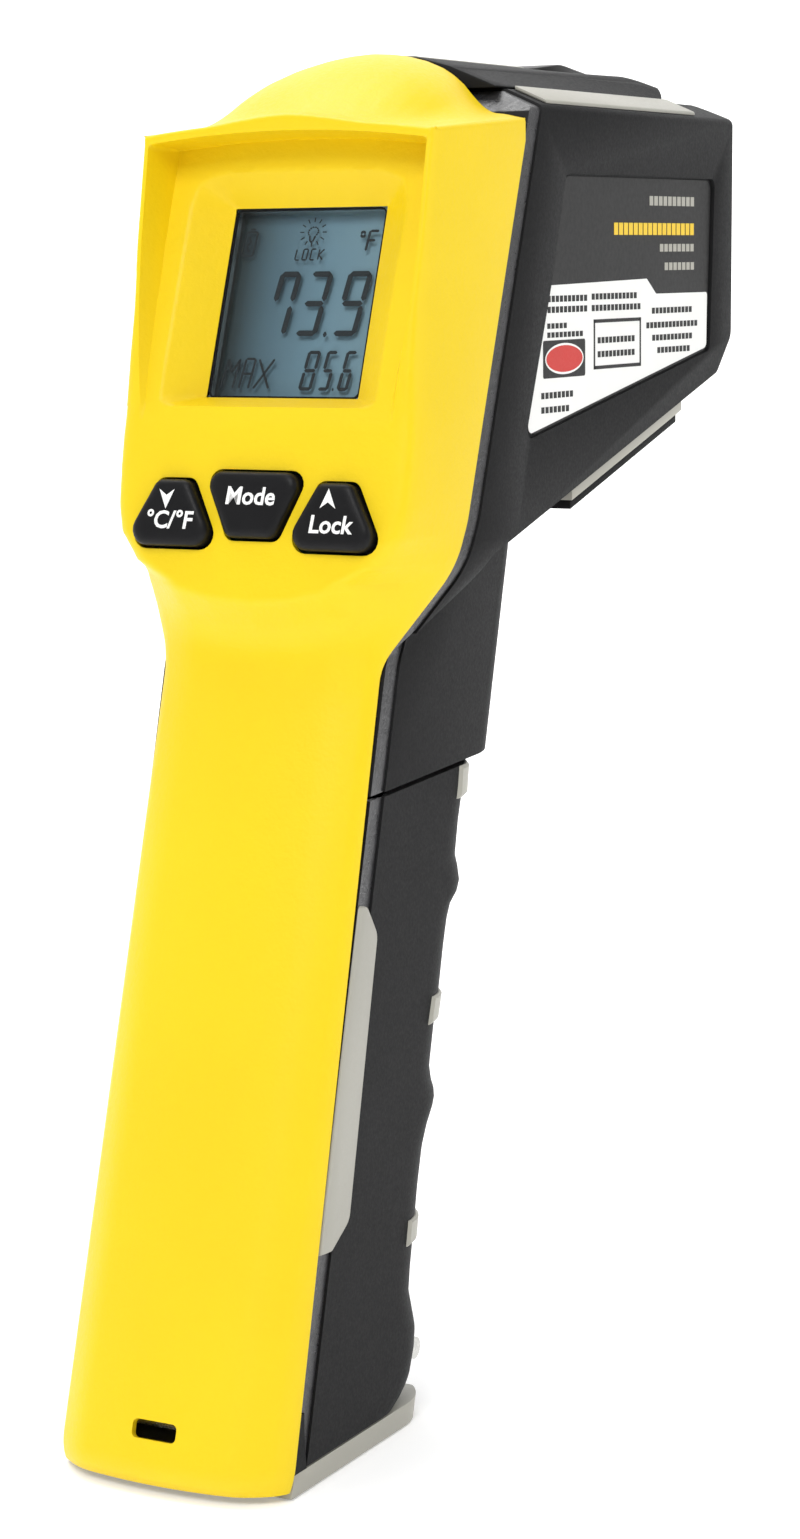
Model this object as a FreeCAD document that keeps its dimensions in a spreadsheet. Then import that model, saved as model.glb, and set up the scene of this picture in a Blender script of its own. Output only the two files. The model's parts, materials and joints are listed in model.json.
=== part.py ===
import FreeCAD, Part
import math
import os
import Sketcher
from FreeCAD import Placement, Rotation, Vector

# Pistol-grip infrared thermometer.
# Frame: origin on the flat base of the handle, +Z up, +Y towards the target, X across.
# The barrel lies level; the display faces back, -Y. Millimetres throughout.

DIMENSIONS = {
    # Overall
    "head_width": 39.0,
    "head_top": 146.2,
    "head_edge_top": 144.2,
    "cap_top": 150.3,
    "barrel_front": 88.4,
    "grip_room": 3.7,
    "grip_drop": 85.0,
    "base_flare": 0.7,
    "wall": 2.0,
    "seam_gap": 0.3,
    "rebate_width": 2.6,
    "rebate_deep": 0.3,
    # Parting line between the yellow rear cover and the black front, seen from the side
    "parting_lean": 0.35,
    "parting_top_y": 31.3,
    "parting_top_z": 142.8,
    "parting_knee_z": 99.8,
    "grip_lean": 0.272,
    "parting_neck_y": 7.4,
    # Rear of the grip and the face
    "grip_rear_lean": 0.304,
    "grip_rear_y": 4.0,
    "face_lean": 0.195,
    "face_foot_y": 2.0,
    "face_foot_z": 91.6,
    "hood_lip_y": 11.7,
    "hood_lip_z": 141.0,
    "hood_top": 143.2,
    # Dome behind the cap
    "dome_radius": 20.6,
    "dome_tilt": 20.8,
    "dome_top_y": 34.0,
    "dome_top_z": 150.4,
    # Barrel underside
    "chin_y": 84.0,
    "chin_z": 113.4,
    "chin_corner_z": 117.8,
    "underside_y": 22.8,
    "underside_z": 95.9,
    # Front of the grip
    "grip_front_y": 13.8,
    "grip_top_front_y": 41.0,
    "grip_top_front_z": 91.4,
    "grip_corner": 8.0,
    "grip_swell": 2.6,
    # Display
    "recess_width": 32.6,
    "recess_floor_y": 6.5,
    "recess_foot_z": 112.6,
    "recess_lean": 0.36,
    "recess_top_z": 139.9,
    "funnel_width": 27.0,
    "funnel_foot_z": 112.4,
    "funnel_top_z": 136.6,
    "window_width": 18.9,
    "window_tall": 21.5,
    "window_foot_z": 113.0,
    "window_foot_y": 10.0,
    "window_lean": 0.35,
    "window_thick": 1.2,
    "backing_thick": 1.6,
    "lcd_width": 22.4,
    "lcd_tall": 25.0,
    "lcd_thick": 2.0,
    "lcd_rim": 1.4,
    "connector_tall": 1.8,
    "board_width": 26.5,
    "board_tall": 26.0,
    "board_thick": 1.6,
    # Keys
    "key_mid_z": 101.5,
    "key_proud": 1.2,
    "key_travel": 0.8,
    "key_gap": 0.3,
    "key_flange": 0.7,
    "side_key_x": 10.0,
    "side_key_half": 5.9,
    "side_key_top_half": 2.0,
    "side_key_foot": 4.3,
    "side_key_rise": 2.9,
    "mode_key_half": 6.3,
    "mode_key_foot_half": 2.9,
    "mode_key_foot": 3.2,
    "mode_key_rise": 3.9,
    "key_board_width": 23.6,
    "key_board_tall": 13.4,
    "dome_switch_rad": 2.1,
    "dome_switch_tall": 0.9,
    # Optics and laser
    "lens_z": 128.5,
    "bezel_rad": 9.6,
    "bezel_bore": 7.6,
    "bezel_thick": 3.0,
    "lens_rad": 6.6,
    "lens_thick": 2.2,
    "tube_rad": 9.2,
    "tube_long": 34.0,
    "tube_wall": 1.6,
    "thermopile_rad": 4.6,
    "thermopile_long": 4.2,
    "optic_board": 20.0,
    "laser_z": 141.3,
    "laser_rad": 2.4,
    "laser_long": 16.0,
    "laser_bore": 1.3,
    # Trigger
    "trigger_width": 12.0,
    "trigger_gap": 0.4,
    "trigger_pin_y": 36.5,
    "trigger_pin_z": 90.6,
    "pin_rad": 1.25,
    "pin_clearance": 0.05,
    "trigger_proud": 4.2,
    "trigger_tall": 17.0,
    "spring_rad": 2.2,
    "spring_wire": 0.5,
    "spring_long": 5.2,
    "spring_turns": 5,
    # Battery
    "battery_width": 17.5,
    "battery_deep": 26.2,
    "battery_tall": 46.4,
    "battery_lean": 0.288,
    "battery_foot": 10.0,
    "battery_mid_y": -4.2,
    "terminal_rad": 2.8,
    "terminal_tall": 2.1,
    "terminal_pitch": 12.7,
    "tray_wall": 1.2,
    "tray_gap": 0.35,
    "tray_short": 5.0,
    # Battery door
    "door_seam_z": 71.0,
    "door_seam_slope": 0.053,
    "door_top_gap": 0.35,
    "heel_width": 0.6,
    "hinge_y": 15.2,
    "hinge_z": 7.0,
    "hinge_hub": 2.4,
    "hinge_sweep": 4.3,
    "hub_half": 6.2,
    "ridge_proud": 2.1,
    "ridge_half": 3.4,
    "ridge_one_z": 58.9,
    "ridge_two_z": 35.4,
    "foot_proud": 3.6,
    "foot_start_z": 14.5,
    "rib_tall": 3.4,
    "rib_deep": 0.9,
    "rib_one_z": 70.2,
    "rib_two_z": 45.6,
    "rib_three_z": 21.8,
    "pad_thick": 2.2,
    "pad_proud": 0.5,
    "pad_gap": 0.3,
    # Base and strap
    "base_thick": 2.4,
    "base_rise": 0.7,
    "slot_width": 5.4,
    "slot_tall": 2.0,
    "slot_mid_z": 6.6,
    "strap_bar_rad": 0.9,
    # Trim
    "cap_half": 14.3,
    "cap_shoulder_x": 8.2,
    "cap_shoulder_drop": 1.5,
    "cap_crown": 0.35,
    "cap_inlay_half": 4.2,
    "cap_edge": 0.3,
    "cap_full_x": 10.4,
    "cap_full_drop": 0.75,
    "sight_start_y": 62.0,
    "sight_length": 15.0,
    "sight_half": 5.0,
    "sight_proud": 0.5,
    "sight_tall": 1.4,
    "cap_start_gap": 0.4,
    "cap_nose_y": 85.5,
    "band_proud": 0.45,
    "band_edge": 0.8,
    "band_start_y": 37.0,
    "band_end_y": 78.5,
    "keel_half": 18.6,
    "keel_band_tall": 1.65,
    "keel_step": 0.2,
    "keel_cap_tall": 1.0,
    "keel_start_y": 43.6,
    "keel_end_y": 76.0,
    "label_deep": 0.5,
    "label_thick": 0.3,
    "screw_rad": 1.4,
    "screw_head_rad": 2.5,
    "boss_rad": 3.0,
    "boss_long": 9.0,
    "screw_top_z": 103.5,
    "screw_low_z": 78.0,
    "screw_bite": 1.8,
    "screw_grip": 5.0,
}


def make_sheet(doc):
    """The spreadsheet that holds every driving size, one alias for each."""
    sheet = doc.addObject("Spreadsheet::Sheet", "sizes")
    for row, (alias, value) in enumerate(DIMENSIONS.items(), start=1):
        sheet.set(f"A{row}", alias)
        sheet.set(f"B{row}", str(value))
        sheet.setAlias(f"B{row}", alias)
    doc.recompute()
    return sheet


class Sizes:
    """Reads the sheet, so that shapes made in code use the same cells as the expressions."""

    def __init__(self, sheet):
        self.sheet = sheet

    def __getattr__(self, alias):
        return float(self.sheet.get(alias))

    @property
    def grip_width(self):
        """The grip's width at its top: the battery in its tray, and the room left on each side."""
        return self.battery_width + 2 * (self.tray_gap + self.tray_wall + self.grip_room)

    @property
    def base_width(self):
        """The grip's width at its foot."""
        return self.grip_width + self.base_flare


# ---------------------------------------------------------------- frames and lines

def parting_y(v, z):
    """The parting line's Y at a height: one lean on the head, another on the grip."""
    if z >= v.parting_knee_z:
        return v.parting_top_y + v.parting_lean * (z - v.parting_top_z)
    return v.parting_neck_y + v.grip_lean * (z - v.grip_drop)


def face_y(v, z):
    """The face's Y at a height."""
    return v.face_foot_y + v.face_lean * (z - v.face_foot_z)


def recess_y(v, z):
    """The display recess floor's Y at a height."""
    return v.recess_floor_y + v.recess_lean * (z - v.recess_foot_z)


def window_y(v, z):
    """The display window's Y at a height."""
    return v.window_foot_y + v.window_lean * (z - v.window_foot_z)


def grip_front(v, z):
    """The grip front's Y at a height, below the seam."""
    return v.grip_front_y + v.grip_lean * z


def underside(v, y):
    """The barrel underside's Z at a place along it."""
    slope = (v.chin_z - v.underside_z) / (v.chin_y - v.underside_y)
    return v.underside_z + slope * (y - v.underside_y)


def door_seam(v, y):
    """The top seam of the battery door."""
    return v.door_seam_z + v.door_seam_slope * y


def leaning(y, z, lean, x=0.0):
    """A frame on a surface that leans forward: local Y runs up it, local Z points out of it, back."""
    tilt = 90.0 - math.degrees(math.atan(lean))
    return Placement(Vector(x, y, z), Rotation(Vector(1, 0, 0), tilt))


def display_frame(v, depth=0.0):
    """The display's frame at the window's middle, moved inwards by depth."""
    up = v.window_tall / 2.0 / math.sqrt(1.0 + v.window_lean ** 2)
    z = v.window_foot_z + up
    frame = leaning(window_y(v, z), z, v.window_lean)
    return frame * Placement(Vector(0, 0, -depth), Rotation())


def key_frame(v, depth=0.0):
    """The keys' frame on the face, moved inwards by depth."""
    frame = leaning(face_y(v, v.key_mid_z), v.key_mid_z, v.face_lean)
    return frame * Placement(Vector(0, 0, -depth), Rotation())


def battery_frame(v, rise=0.0):
    """The battery's frame: local Z runs up the grip."""
    lean = math.degrees(math.atan(v.battery_lean))
    frame = Placement(Vector(0, v.battery_mid_y, 0), Rotation(Vector(1, 0, 0), -lean))
    return frame * Placement(Vector(0, 0, v.battery_foot + rise), Rotation())


def along_barrel(y, z):
    """A frame whose local Z points forward along the barrel."""
    return Placement(Vector(0, y, z), Rotation(Vector(1, 0, 0), -90.0))


# ---------------------------------------------------------------- outlines and solids

def rounded_wire(points, to_space):
    """A closed wire through (a, b, radius) corners, each rounded by its own radius."""
    count = len(points)
    joins = []
    for index, (a, b, radius) in enumerate(points):
        here = Vector(a, b, 0)
        before = Vector(*points[index - 1][:2], 0) - here
        after = Vector(*points[(index + 1) % count][:2], 0) - here
        before.normalize()
        after.normalize()
        if radius <= 0:
            joins.append((here, None, here))
            continue
        half = before.getAngle(after) / 2.0
        cut = radius / math.tan(half)
        inward = before + after
        inward.normalize()
        middle = here + inward * (radius / math.sin(half) - radius)
        joins.append((here + before * cut, middle, here + after * cut))
    edges = []
    for index, (start, middle, end) in enumerate(joins):
        if middle is not None:
            edges.append(Part.Arc(to_space(start), to_space(middle), to_space(end)).toShape())
        following = joins[(index + 1) % count][0]
        if end.distanceToPoint(following) > 1e-6:
            edges.append(Part.makeLine(to_space(end), to_space(following)))
    return Part.Wire(edges)


def side_space(point):
    """A point of a side outline: (y, z) on the plane x = 0."""
    return Vector(0, point.x, point.y)


def front_space(point):
    """A point of a front outline: (x, z) on the plane y = 0."""
    return Vector(point.x, 0, point.y)


def side_prism(points, half, inset=0.0):
    """A side outline carried half each way across X, pulled in by inset all round."""
    face = Part.Face(rounded_wire(points, side_space))
    if inset:
        face = face.makeOffset2D(-inset)
    face.translate(Vector(-half, 0, 0))
    return face.extrude(Vector(2 * half, 0, 0))


def front_prism(points, start, end, inset=0.0):
    """A front outline carried along Y from start to end, pulled in by inset all round."""
    face = Part.Face(rounded_wire(points, front_space))
    if inset:
        face = face.makeOffset2D(-inset)
    face.translate(Vector(0, start, 0))
    return face.extrude(Vector(0, end - start, 0))


def flat_prism(points, frame, low, high):
    """An outline in a frame's own plane, from depth low to depth high."""
    wire = rounded_wire(points, lambda point: point)
    solid = Part.Face(wire).extrude(Vector(0, 0, high - low))
    solid.Placement = frame * Placement(Vector(0, 0, low), Rotation())
    return solid


def mirror_points(points):
    """The points with their mirror image across the middle, as one closed outline."""
    return points + [(-a, b, radius) for a, b, radius in reversed(points)]


def block(width, deep, tall, frame, x=0.0, y=0.0, z=0.0):
    """A box centred on its frame in X and Y and standing on it."""
    solid = Part.makeBox(width, deep, tall, Vector(x - width / 2.0, y - deep / 2.0, z))
    solid.Placement = frame
    return solid


def rod(radius, long, frame, x=0.0, y=0.0, z=0.0):
    """A cylinder along its frame's Z."""
    solid = Part.makeCylinder(radius, long, Vector(x, y, z))
    solid.Placement = frame
    return solid


def cross_rod(radius, half, y, z):
    """A cylinder across X, centred on the middle plane."""
    return Part.makeCylinder(radius, 2 * half, Vector(-half, y, z), Vector(1, 0, 0))


# ---------------------------------------------------------------- outer form

def head_side(v):
    """The side outline of the head: neck, face, hood, roof, nose and underside."""
    collar_z = v.grip_drop - 6.0
    return [
        (v.grip_rear_y + v.grip_rear_lean * (collar_z - v.grip_drop), collar_z, 0.0),
        (v.grip_rear_y + 0.7, v.grip_drop + 2.2, 5.0),
        (v.face_foot_y, v.face_foot_z, 2.5),
        (v.hood_lip_y, v.hood_lip_z, 0.0),
        (v.hood_lip_y + 0.5, v.hood_top, 0.6),
        (v.parting_top_y, v.hood_top + 0.4, 0.0),
        (v.parting_top_y + 3.0, v.head_top, 0.0),
        (v.barrel_front, v.head_top, 2.0),
        (v.barrel_front, v.chin_corner_z, 2.0),
        (v.chin_y, v.chin_z, 2.0),
        (v.underside_y, v.underside_z, 3.0),
        (v.parting_neck_y + 1.0, v.grip_drop + 0.4, 2.0),
        (v.parting_neck_y - 1.0, collar_z, 0.0),
    ]


def grip_side(v):
    """The side outline of the grip, run up inside the head."""
    rear_foot = v.grip_rear_y - v.grip_rear_lean * v.grip_drop
    rear_top = v.grip_rear_y + v.grip_rear_lean * 7.0
    roof_y = v.grip_top_front_y + 3.0
    return [
        (rear_foot, 0.0, 2.5),
        (rear_top, v.grip_drop + 7.0, 0.0),
        (rear_top + 6.0, v.grip_drop + 12.0, 0.0),
        (roof_y, underside(v, roof_y) + v.wall + 0.6, 0.0),
        (v.grip_top_front_y, v.grip_top_front_z, 0.0),
        (grip_front(v, v.door_seam_z) + 0.8, v.door_seam_z, 0.0),
        (grip_front(v, 0) + 0.8, 0.0, 0.0),
    ]


def casing_front(v):
    """The front outline of the casing: grip, flare, head and the bevelled top edges."""
    head = v.head_width / 2.0
    grip = v.grip_width / 2.0 - 0.6
    return mirror_points([
        (v.base_width / 2.0, 0.0, 1.0),
        (grip, v.grip_drop, 7.0),
        (head - 0.2, v.grip_drop + 10.0, 9.0),
        (head, v.head_edge_top, 1.0),
        (v.cap_half + 0.4, v.head_top, 0.0),
    ])


def rear_region(v, gap):
    """Everything behind the parting line, less the gap."""
    back = -60.0
    low = -10.0
    high = 170.0
    points = [
        (back, low, 0),
        (back, high, 0),
        (parting_y(v, high) - gap, high, 0),
        (parting_y(v, v.parting_knee_z) - gap, v.parting_knee_z, 9.0),
        (parting_y(v, v.grip_drop) - gap, v.grip_drop, 7.0),
        (parting_y(v, low) - gap, low, 0),
    ]
    return side_prism(points, 40.0)


def rebate_region(v):
    """The strip beside the parting where the black skin is stepped down."""
    return rear_region(v, -v.seam_gap / 2.0 - v.rebate_width)


def dome(v, inset=0.0):
    """The tilted dome that rises from the hood to the top cap."""
    radius = v.dome_radius - inset
    frame = Placement(Vector(0, v.dome_top_y, v.dome_top_z),
                      Rotation(Vector(1, 0, 0), v.dome_tilt - 90.0))
    return rod(radius, 60.0, frame, y=v.dome_radius, z=-40.0)


def grip_column(v, proud, inset):
    """A leaning column that rounds the grip's front corners, proud of the front by an amount."""
    half = v.grip_width / 2.0 + 0.1 - inset
    front = v.grip_front_y + proud
    plan = [
        (half, -60.0, 0),
        (half, front, v.grip_corner),
        (-half, front, v.grip_corner),
        (-half, -60.0, 0),
    ]
    face = Part.Face(rounded_wire(plan, lambda point: point))
    face.translate(Vector(0, -10.0 * v.grip_lean, -10.0))
    return face.extrude(Vector(0, 125.0 * v.grip_lean, 125.0))


def casing_form(v, inset):
    """The head and the grip as one solid form, pulled in by inset all round."""
    head = side_prism(head_side(v), 40.0, inset).common(
        front_prism(casing_front(v), -60, 120, inset))
    grip = side_prism(grip_side(v), 40.0, inset).common(
        grip_column(v, v.grip_swell - inset, inset))
    return head.fuse(grip)


def casing_outer(v):
    """The solid outside of the casing, before it is parted."""
    return casing_form(v, 0.0)


def casing_inner(v):
    """The hollow inside the casing's walls."""
    return casing_form(v, v.wall)


def hood_recess(v):
    """The space under the hood, in front of the sloping display surround."""
    foot = recess_y(v, v.recess_foot_z)
    top = recess_y(v, v.recess_top_z)
    points = [
        (-30.0, v.recess_foot_z, 0),
        (foot, v.recess_foot_z, 0),
        (top, v.recess_top_z, 1.2),
        (v.hood_lip_y - 0.2, v.hood_lip_z, 0),
        (-30.0, v.hood_lip_z, 0),
    ]
    return side_prism(points, v.recess_width / 2.0)


def rectangle_wire(half, low, high, line):
    """A rectangle on a leaning plane, given by its half width and two heights."""
    corners = [(-half, low), (half, low), (half, high), (-half, high), (-half, low)]
    return Part.makePolygon([Vector(x, line(z), z) for x, z in corners])


def window_funnel(v):
    """The bevelled surround from the recess floor down to the window."""
    high = v.window_foot_z + v.window_tall / math.sqrt(1.0 + v.window_lean ** 2)
    outer = rectangle_wire(v.funnel_width / 2.0, v.funnel_foot_z, v.funnel_top_z,
                           lambda z: recess_y(v, z) - 0.05)
    inner = rectangle_wire(v.window_width / 2.0, v.window_foot_z, high,
                           lambda z: window_y(v, z))
    return Part.makeLoft([outer, inner], True, True)


def display_backing(v):
    """The wall behind the recess that carries the window."""
    frame = display_frame(v)
    deep = 3.6 + v.backing_thick
    return block(v.recess_width + v.wall, v.window_tall + 16.0, deep, frame,
                 y=3.6, z=-v.backing_thick)


def key_outlines(v, grow):
    """The three key outlines in the keys' frame, grown all round."""
    side = [
        (v.side_key_half + grow, -v.side_key_foot - grow, 1.7),
        (v.side_key_top_half + grow, v.side_key_rise + grow, 1.3),
    ]
    mode = [
        (v.mode_key_foot_half + grow, -v.mode_key_foot - grow, 1.3),
        (v.mode_key_half + grow, v.mode_key_rise + grow, 1.5),
    ]
    outlines = {}
    for name, x, half in (("key_left", -v.side_key_x, side), ("key_mode", 0.0, mode),
                          ("key_right", v.side_key_x, side)):
        outlines[name] = [(x + a, b, radius) for a, b, radius in mirror_points(half)]
    return outlines


def cap_solid(v):
    """The long black cap along the top, rounded at its nose."""
    start = parting_y(v, v.head_top) + v.cap_start_gap
    half = v.cap_half
    sections = []
    for y, x, drop in ((start - 4.0, v.cap_shoulder_x, v.cap_shoulder_drop),
                       (v.cap_nose_y, v.cap_full_x, v.cap_full_drop)):
        wire = rounded_wire(mirror_points([
            (half, v.head_top - 0.4, 0.0),
            (half, v.head_top + v.cap_edge, 0.0),
            (x, v.cap_top - drop, 5.0),
            (v.cap_inlay_half, v.cap_top - v.cap_crown, 0.0),
        ]), front_space)
        wire.translate(Vector(0, y, 0))
        sections.append(wire)
    body = Part.makeLoft(sections, True, True)
    lead = [
        (start, v.head_top - 1.0, 0),
        (parting_y(v, v.cap_top) + v.cap_start_gap, v.cap_top + 1.0, 0),
        (v.cap_nose_y - 15.0, v.cap_top + 1.0, 30.0),
        (v.cap_nose_y, v.head_top + 1.2, 0.6),
        (v.cap_nose_y, v.head_top - 1.0, 0),
    ]
    plan = [
        (half, start - 10.0, 0),
        (half, v.cap_nose_y, 9.0),
        (-half, v.cap_nose_y, 9.0),
        (-half, start - 10.0, 0),
    ]
    top_view = flat_prism(plan, Placement(), v.head_top - 2.0, v.cap_top + 2.0)
    return body.common(side_prism(lead, 30.0)).common(top_view)


# ---------------------------------------------------------------- document helpers

class Model:
    """The document, its sheet and the sub-parts made in it."""

    def __init__(self):
        self.doc = FreeCAD.newDocument("infrared_thermometer")
        self.sheet = make_sheet(self.doc)
        self.sizes = Sizes(self.sheet)
        self.nodes = []

    def keep(self, obj, name):
        """Names an object as a sub-part of the thermometer."""
        obj.Label = name
        self.nodes.append(obj)
        return obj

    def shape(self, name, solid):
        """A sub-part whose solid is made from the sheet's values in code."""
        obj = self.doc.addObject("Part::Feature", name)
        obj.Shape = solid.removeSplitter()
        obj.Placement = Placement()
        return self.keep(obj, name)

    def body(self, name, frame):
        """An empty PartDesign body set in a frame."""
        body = self.doc.addObject("PartDesign::Body", name)
        body.Placement = frame
        return self.keep(body, name)

    def sketch(self, body, name):
        """A sketch on the body's own ground plane."""
        sketch = body.newObject("Sketcher::SketchObject", f"{body.Name}_{name}")
        plane = next(item for item in body.Origin.OriginFeatures if item.Role == "XY_Plane")
        sketch.AttachmentSupport = [(plane, "")]
        sketch.MapMode = "FlatFace"
        return sketch

    def bind(self, sketch, kind, args, expression, value):
        """A driving constraint of the sketch, bound to the sheet."""
        index = sketch.addConstraint(Sketcher.Constraint(kind, *args, value))
        sketch.setExpression(f"Constraints[{index}]", expression)

    def value(self, expression):
        """The present value of an expression in the sheet's aliases."""
        cells = {alias: getattr(self.sizes, alias) for alias in DIMENSIONS}
        terms = expression.replace("sizes.", "").split()
        total = cells[terms[0]] if terms[0] in cells else float(terms[0])
        for sign, term in zip(terms[1::2], terms[2::2]):
            number = cells[term] if term in cells else float(term)
            total = {"+": total + number, "-": total - number,
                     "*": total * number, "/": total / number}[sign]
        return total

    def circle(self, sketch, radius, x=0.0, y=0.0):
        """A circle whose radius follows the sheet."""
        size = self.value(radius)
        arc = sketch.addGeometry(Part.Circle(Vector(x, y, 0), Vector(0, 0, 1), size))
        sketch.addConstraint(Sketcher.Constraint("DistanceX", -1, 1, arc, 3, x))
        sketch.addConstraint(Sketcher.Constraint("DistanceY", -1, 1, arc, 3, y))
        self.bind(sketch, "Radius", (arc,), radius, size)

    def rectangle(self, sketch, width, tall):
        """A rectangle centred on the sketch's origin, its sides bound to the sheet."""
        half_x = self.value(width) / 2.0
        half_y = self.value(tall) / 2.0
        corners = [Vector(-half_x, -half_y, 0), Vector(half_x, -half_y, 0),
                   Vector(half_x, half_y, 0), Vector(-half_x, half_y, 0)]
        first = sketch.GeometryCount
        for index in range(4):
            sketch.addGeometry(Part.LineSegment(corners[index], corners[(index + 1) % 4]))
        for index in range(4):
            following = first + (index + 1) % 4
            sketch.addConstraint(Sketcher.Constraint("Coincident", first + index, 2, following, 1))
        for index, kind in enumerate(("Horizontal", "Vertical", "Horizontal", "Vertical")):
            sketch.addConstraint(Sketcher.Constraint(kind, first + index))
        sketch.addConstraint(Sketcher.Constraint("Symmetric", first, 1, first + 1, 2, -1, 1))
        self.bind(sketch, "DistanceX", (first, 1, first, 2), width, 2 * half_x)
        self.bind(sketch, "DistanceY", (first + 1, 1, first + 1, 2), tall, 2 * half_y)

    def pad(self, body, sketch, length):
        """A pad of the sketch, its length bound to the sheet."""
        pad = body.newObject("PartDesign::Pad", f"{body.Name}_pad{len(body.Group)}")
        pad.Profile = sketch
        pad.Length = self.value(length)
        pad.setExpression("Length", length)
        body.Tip = pad
        return pad

    def plate(self, name, frame, width, tall, thick):
        """A rectangular plate padded up from its frame."""
        body = self.body(name, frame)
        sketch = self.sketch(body, "outline")
        self.rectangle(sketch, width, tall)
        self.pad(body, sketch, thick)
        return body

    def frame_plate(self, name, frame, outer, inner, thick):
        """A rectangular frame: outer and inner are (width, tall) expressions."""
        body = self.body(name, frame)
        sketch = self.sketch(body, "outline")
        self.rectangle(sketch, *outer)
        self.rectangle(sketch, *inner)
        self.pad(body, sketch, thick)
        return body

    def cylinder(self, name, frame, radius, long):
        """A solid round padded up from its frame."""
        body = self.body(name, frame)
        sketch = self.sketch(body, "outline")
        self.circle(sketch, radius)
        self.pad(body, sketch, long)
        return body

    def tube(self, name, frame, radius, bore, long):
        """A tube padded up from its frame."""
        body = self.body(name, frame)
        sketch = self.sketch(body, "outline")
        self.circle(sketch, radius)
        self.circle(sketch, bore)
        self.pad(body, sketch, long)
        return body

    def finish(self):
        """Recomputes, tests every object and sub-part, and writes the sub-parts."""
        self.doc.recompute()
        for obj in self.doc.Objects:
            faults = {"Invalid", "Error"} & set(obj.State)
            if faults:
                raise RuntimeError(f"{obj.Name} is {faults}")
        os.makedirs("parts", exist_ok=True)
        for obj in self.nodes:
            solid = obj.Shape
            if solid.isNull() or not solid.isValid() or not solid.Solids:
                raise RuntimeError(f"{obj.Label} has no valid solid")
        for obj in self.nodes:
            obj.Shape.exportStep(f"parts/{obj.Label}.step")
            print(f"{obj.Label:20s} solids {len(obj.Shape.Solids)} volume {obj.Shape.Volume:10.1f}")


# ---------------------------------------------------------------- casing

def boss_places(v):
    """The casing screws' places, (x, z), two in the head and two in the grip's neck."""
    head = v.head_width / 2.0 - v.wall - v.boss_rad + 0.6
    neck = v.grip_width / 2.0 - v.wall - v.boss_rad + 0.2
    return [(-head, v.screw_top_z), (head, v.screw_top_z),
            (-neck, v.screw_low_z), (neck, v.screw_low_z)]


def screw_bosses(v, side):
    """The screws' bosses on one side of the parting: -1 for the cover, 1 for the front."""
    bosses = []
    for x, z in boss_places(v):
        y = parting_y(v, z)
        deep = v.boss_long if side < 0 else v.screw_grip
        low = y - deep if side < 0 else y
        bosses.append(Part.makeCylinder(v.boss_rad, deep, Vector(x, low, z), Vector(0, 1, 0)))
    return Part.makeCompound(bosses).common(casing_outer(v))


def screw_holes(v, radius):
    """The screws' holes, from inside the cover's bosses to well in front of the parting."""
    holes = []
    for x, z in boss_places(v):
        start = Vector(x, parting_y(v, z) - v.screw_bite, z)
        holes.append(Part.makeCylinder(radius, 40.0, start, Vector(0, 1, 0)))
        seat = start + Vector(0, v.screw_bite + v.screw_grip, 0)
        holes.append(Part.makeCylinder(v.screw_head_rad + v.seam_gap, 12.0, seat, Vector(0, 1, 0)))
    return Part.makeCompound(holes)


def make_rear_cover(model):
    """The yellow rear cover: hood, display surround, face, key openings and the grip's back."""
    v = model.sizes
    outer = casing_outer(v)
    hump = dome(v).common(block(80, 60, 30, Placement(), y=30, z=v.hood_top - 1.0))
    inner = casing_inner(v)
    hump_inner = dome(v, v.wall).common(block(80, 60, 30, Placement(), y=30, z=v.hood_top - 4.0))
    shell = outer.fuse(hump).cut(inner).cut(hump_inner)
    backing = display_backing(v).common(casing_outer(v))
    shell = shell.fuse(backing).fuse(screw_bosses(v, -1))
    shell = shell.common(rear_region(v, v.seam_gap / 2.0))
    shell = shell.cut(screw_holes(v, v.screw_rad + v.pin_clearance))
    frame = display_frame(v)
    opening = block(v.window_width, v.window_tall, 10.0, frame, z=-6.0)
    shell = shell.cut(hood_recess(v)).cut(window_funnel(v)).cut(opening)
    for outline in key_outlines(v, v.key_gap).values():
        shell = shell.cut(flat_prism(outline, key_frame(v), -12.0, 12.0))
    slot_y = v.grip_rear_y + v.grip_rear_lean * (v.slot_mid_z - v.grip_drop)
    slot = Part.makeBox(v.slot_width, 12.0, v.slot_tall,
                        Vector(-v.slot_width / 2.0, slot_y - 6.0, v.slot_mid_z - v.slot_tall / 2.0))
    shell = shell.cut(slot)
    low = block(60, 60, v.base_rise, Placement(), y=-20)
    shell = shell.cut(low)
    model.shape("rear_cover", largest(shell))


def largest(shape):
    """The largest solid of a shape, so that a boolean leaves no crumbs."""
    return max(shape.Solids, key=lambda solid: solid.Volume)


def door_region(v):
    """The battery door's room: below its seam, with space for its swing, and above the base."""
    back = -60.0
    front = 90.0
    low = v.base_thick + v.seam_gap / 2.0
    points = [
        (back, low, 0),
        (back, door_seam(v, back) - v.door_top_gap, 0),
        (front, door_seam(v, front) - v.door_top_gap, 0),
        (front, low, 0),
    ]
    return side_prism(points, 40.0)


def trigger_slot(v):
    """The opening in the grip's front that the trigger swings in."""
    half = v.trigger_width / 2.0 + v.trigger_gap
    top = v.trigger_pin_z + 4.6
    low = v.trigger_pin_z - v.trigger_tall + 0.6
    points = [
        (v.trigger_pin_y - 8.0, low, 0),
        (v.trigger_pin_y - 8.0, top, 0),
        (v.trigger_pin_y + 14.0, top, 0),
        (v.trigger_pin_y + 14.0, low, 0),
    ]
    return side_prism(points, half)


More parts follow.
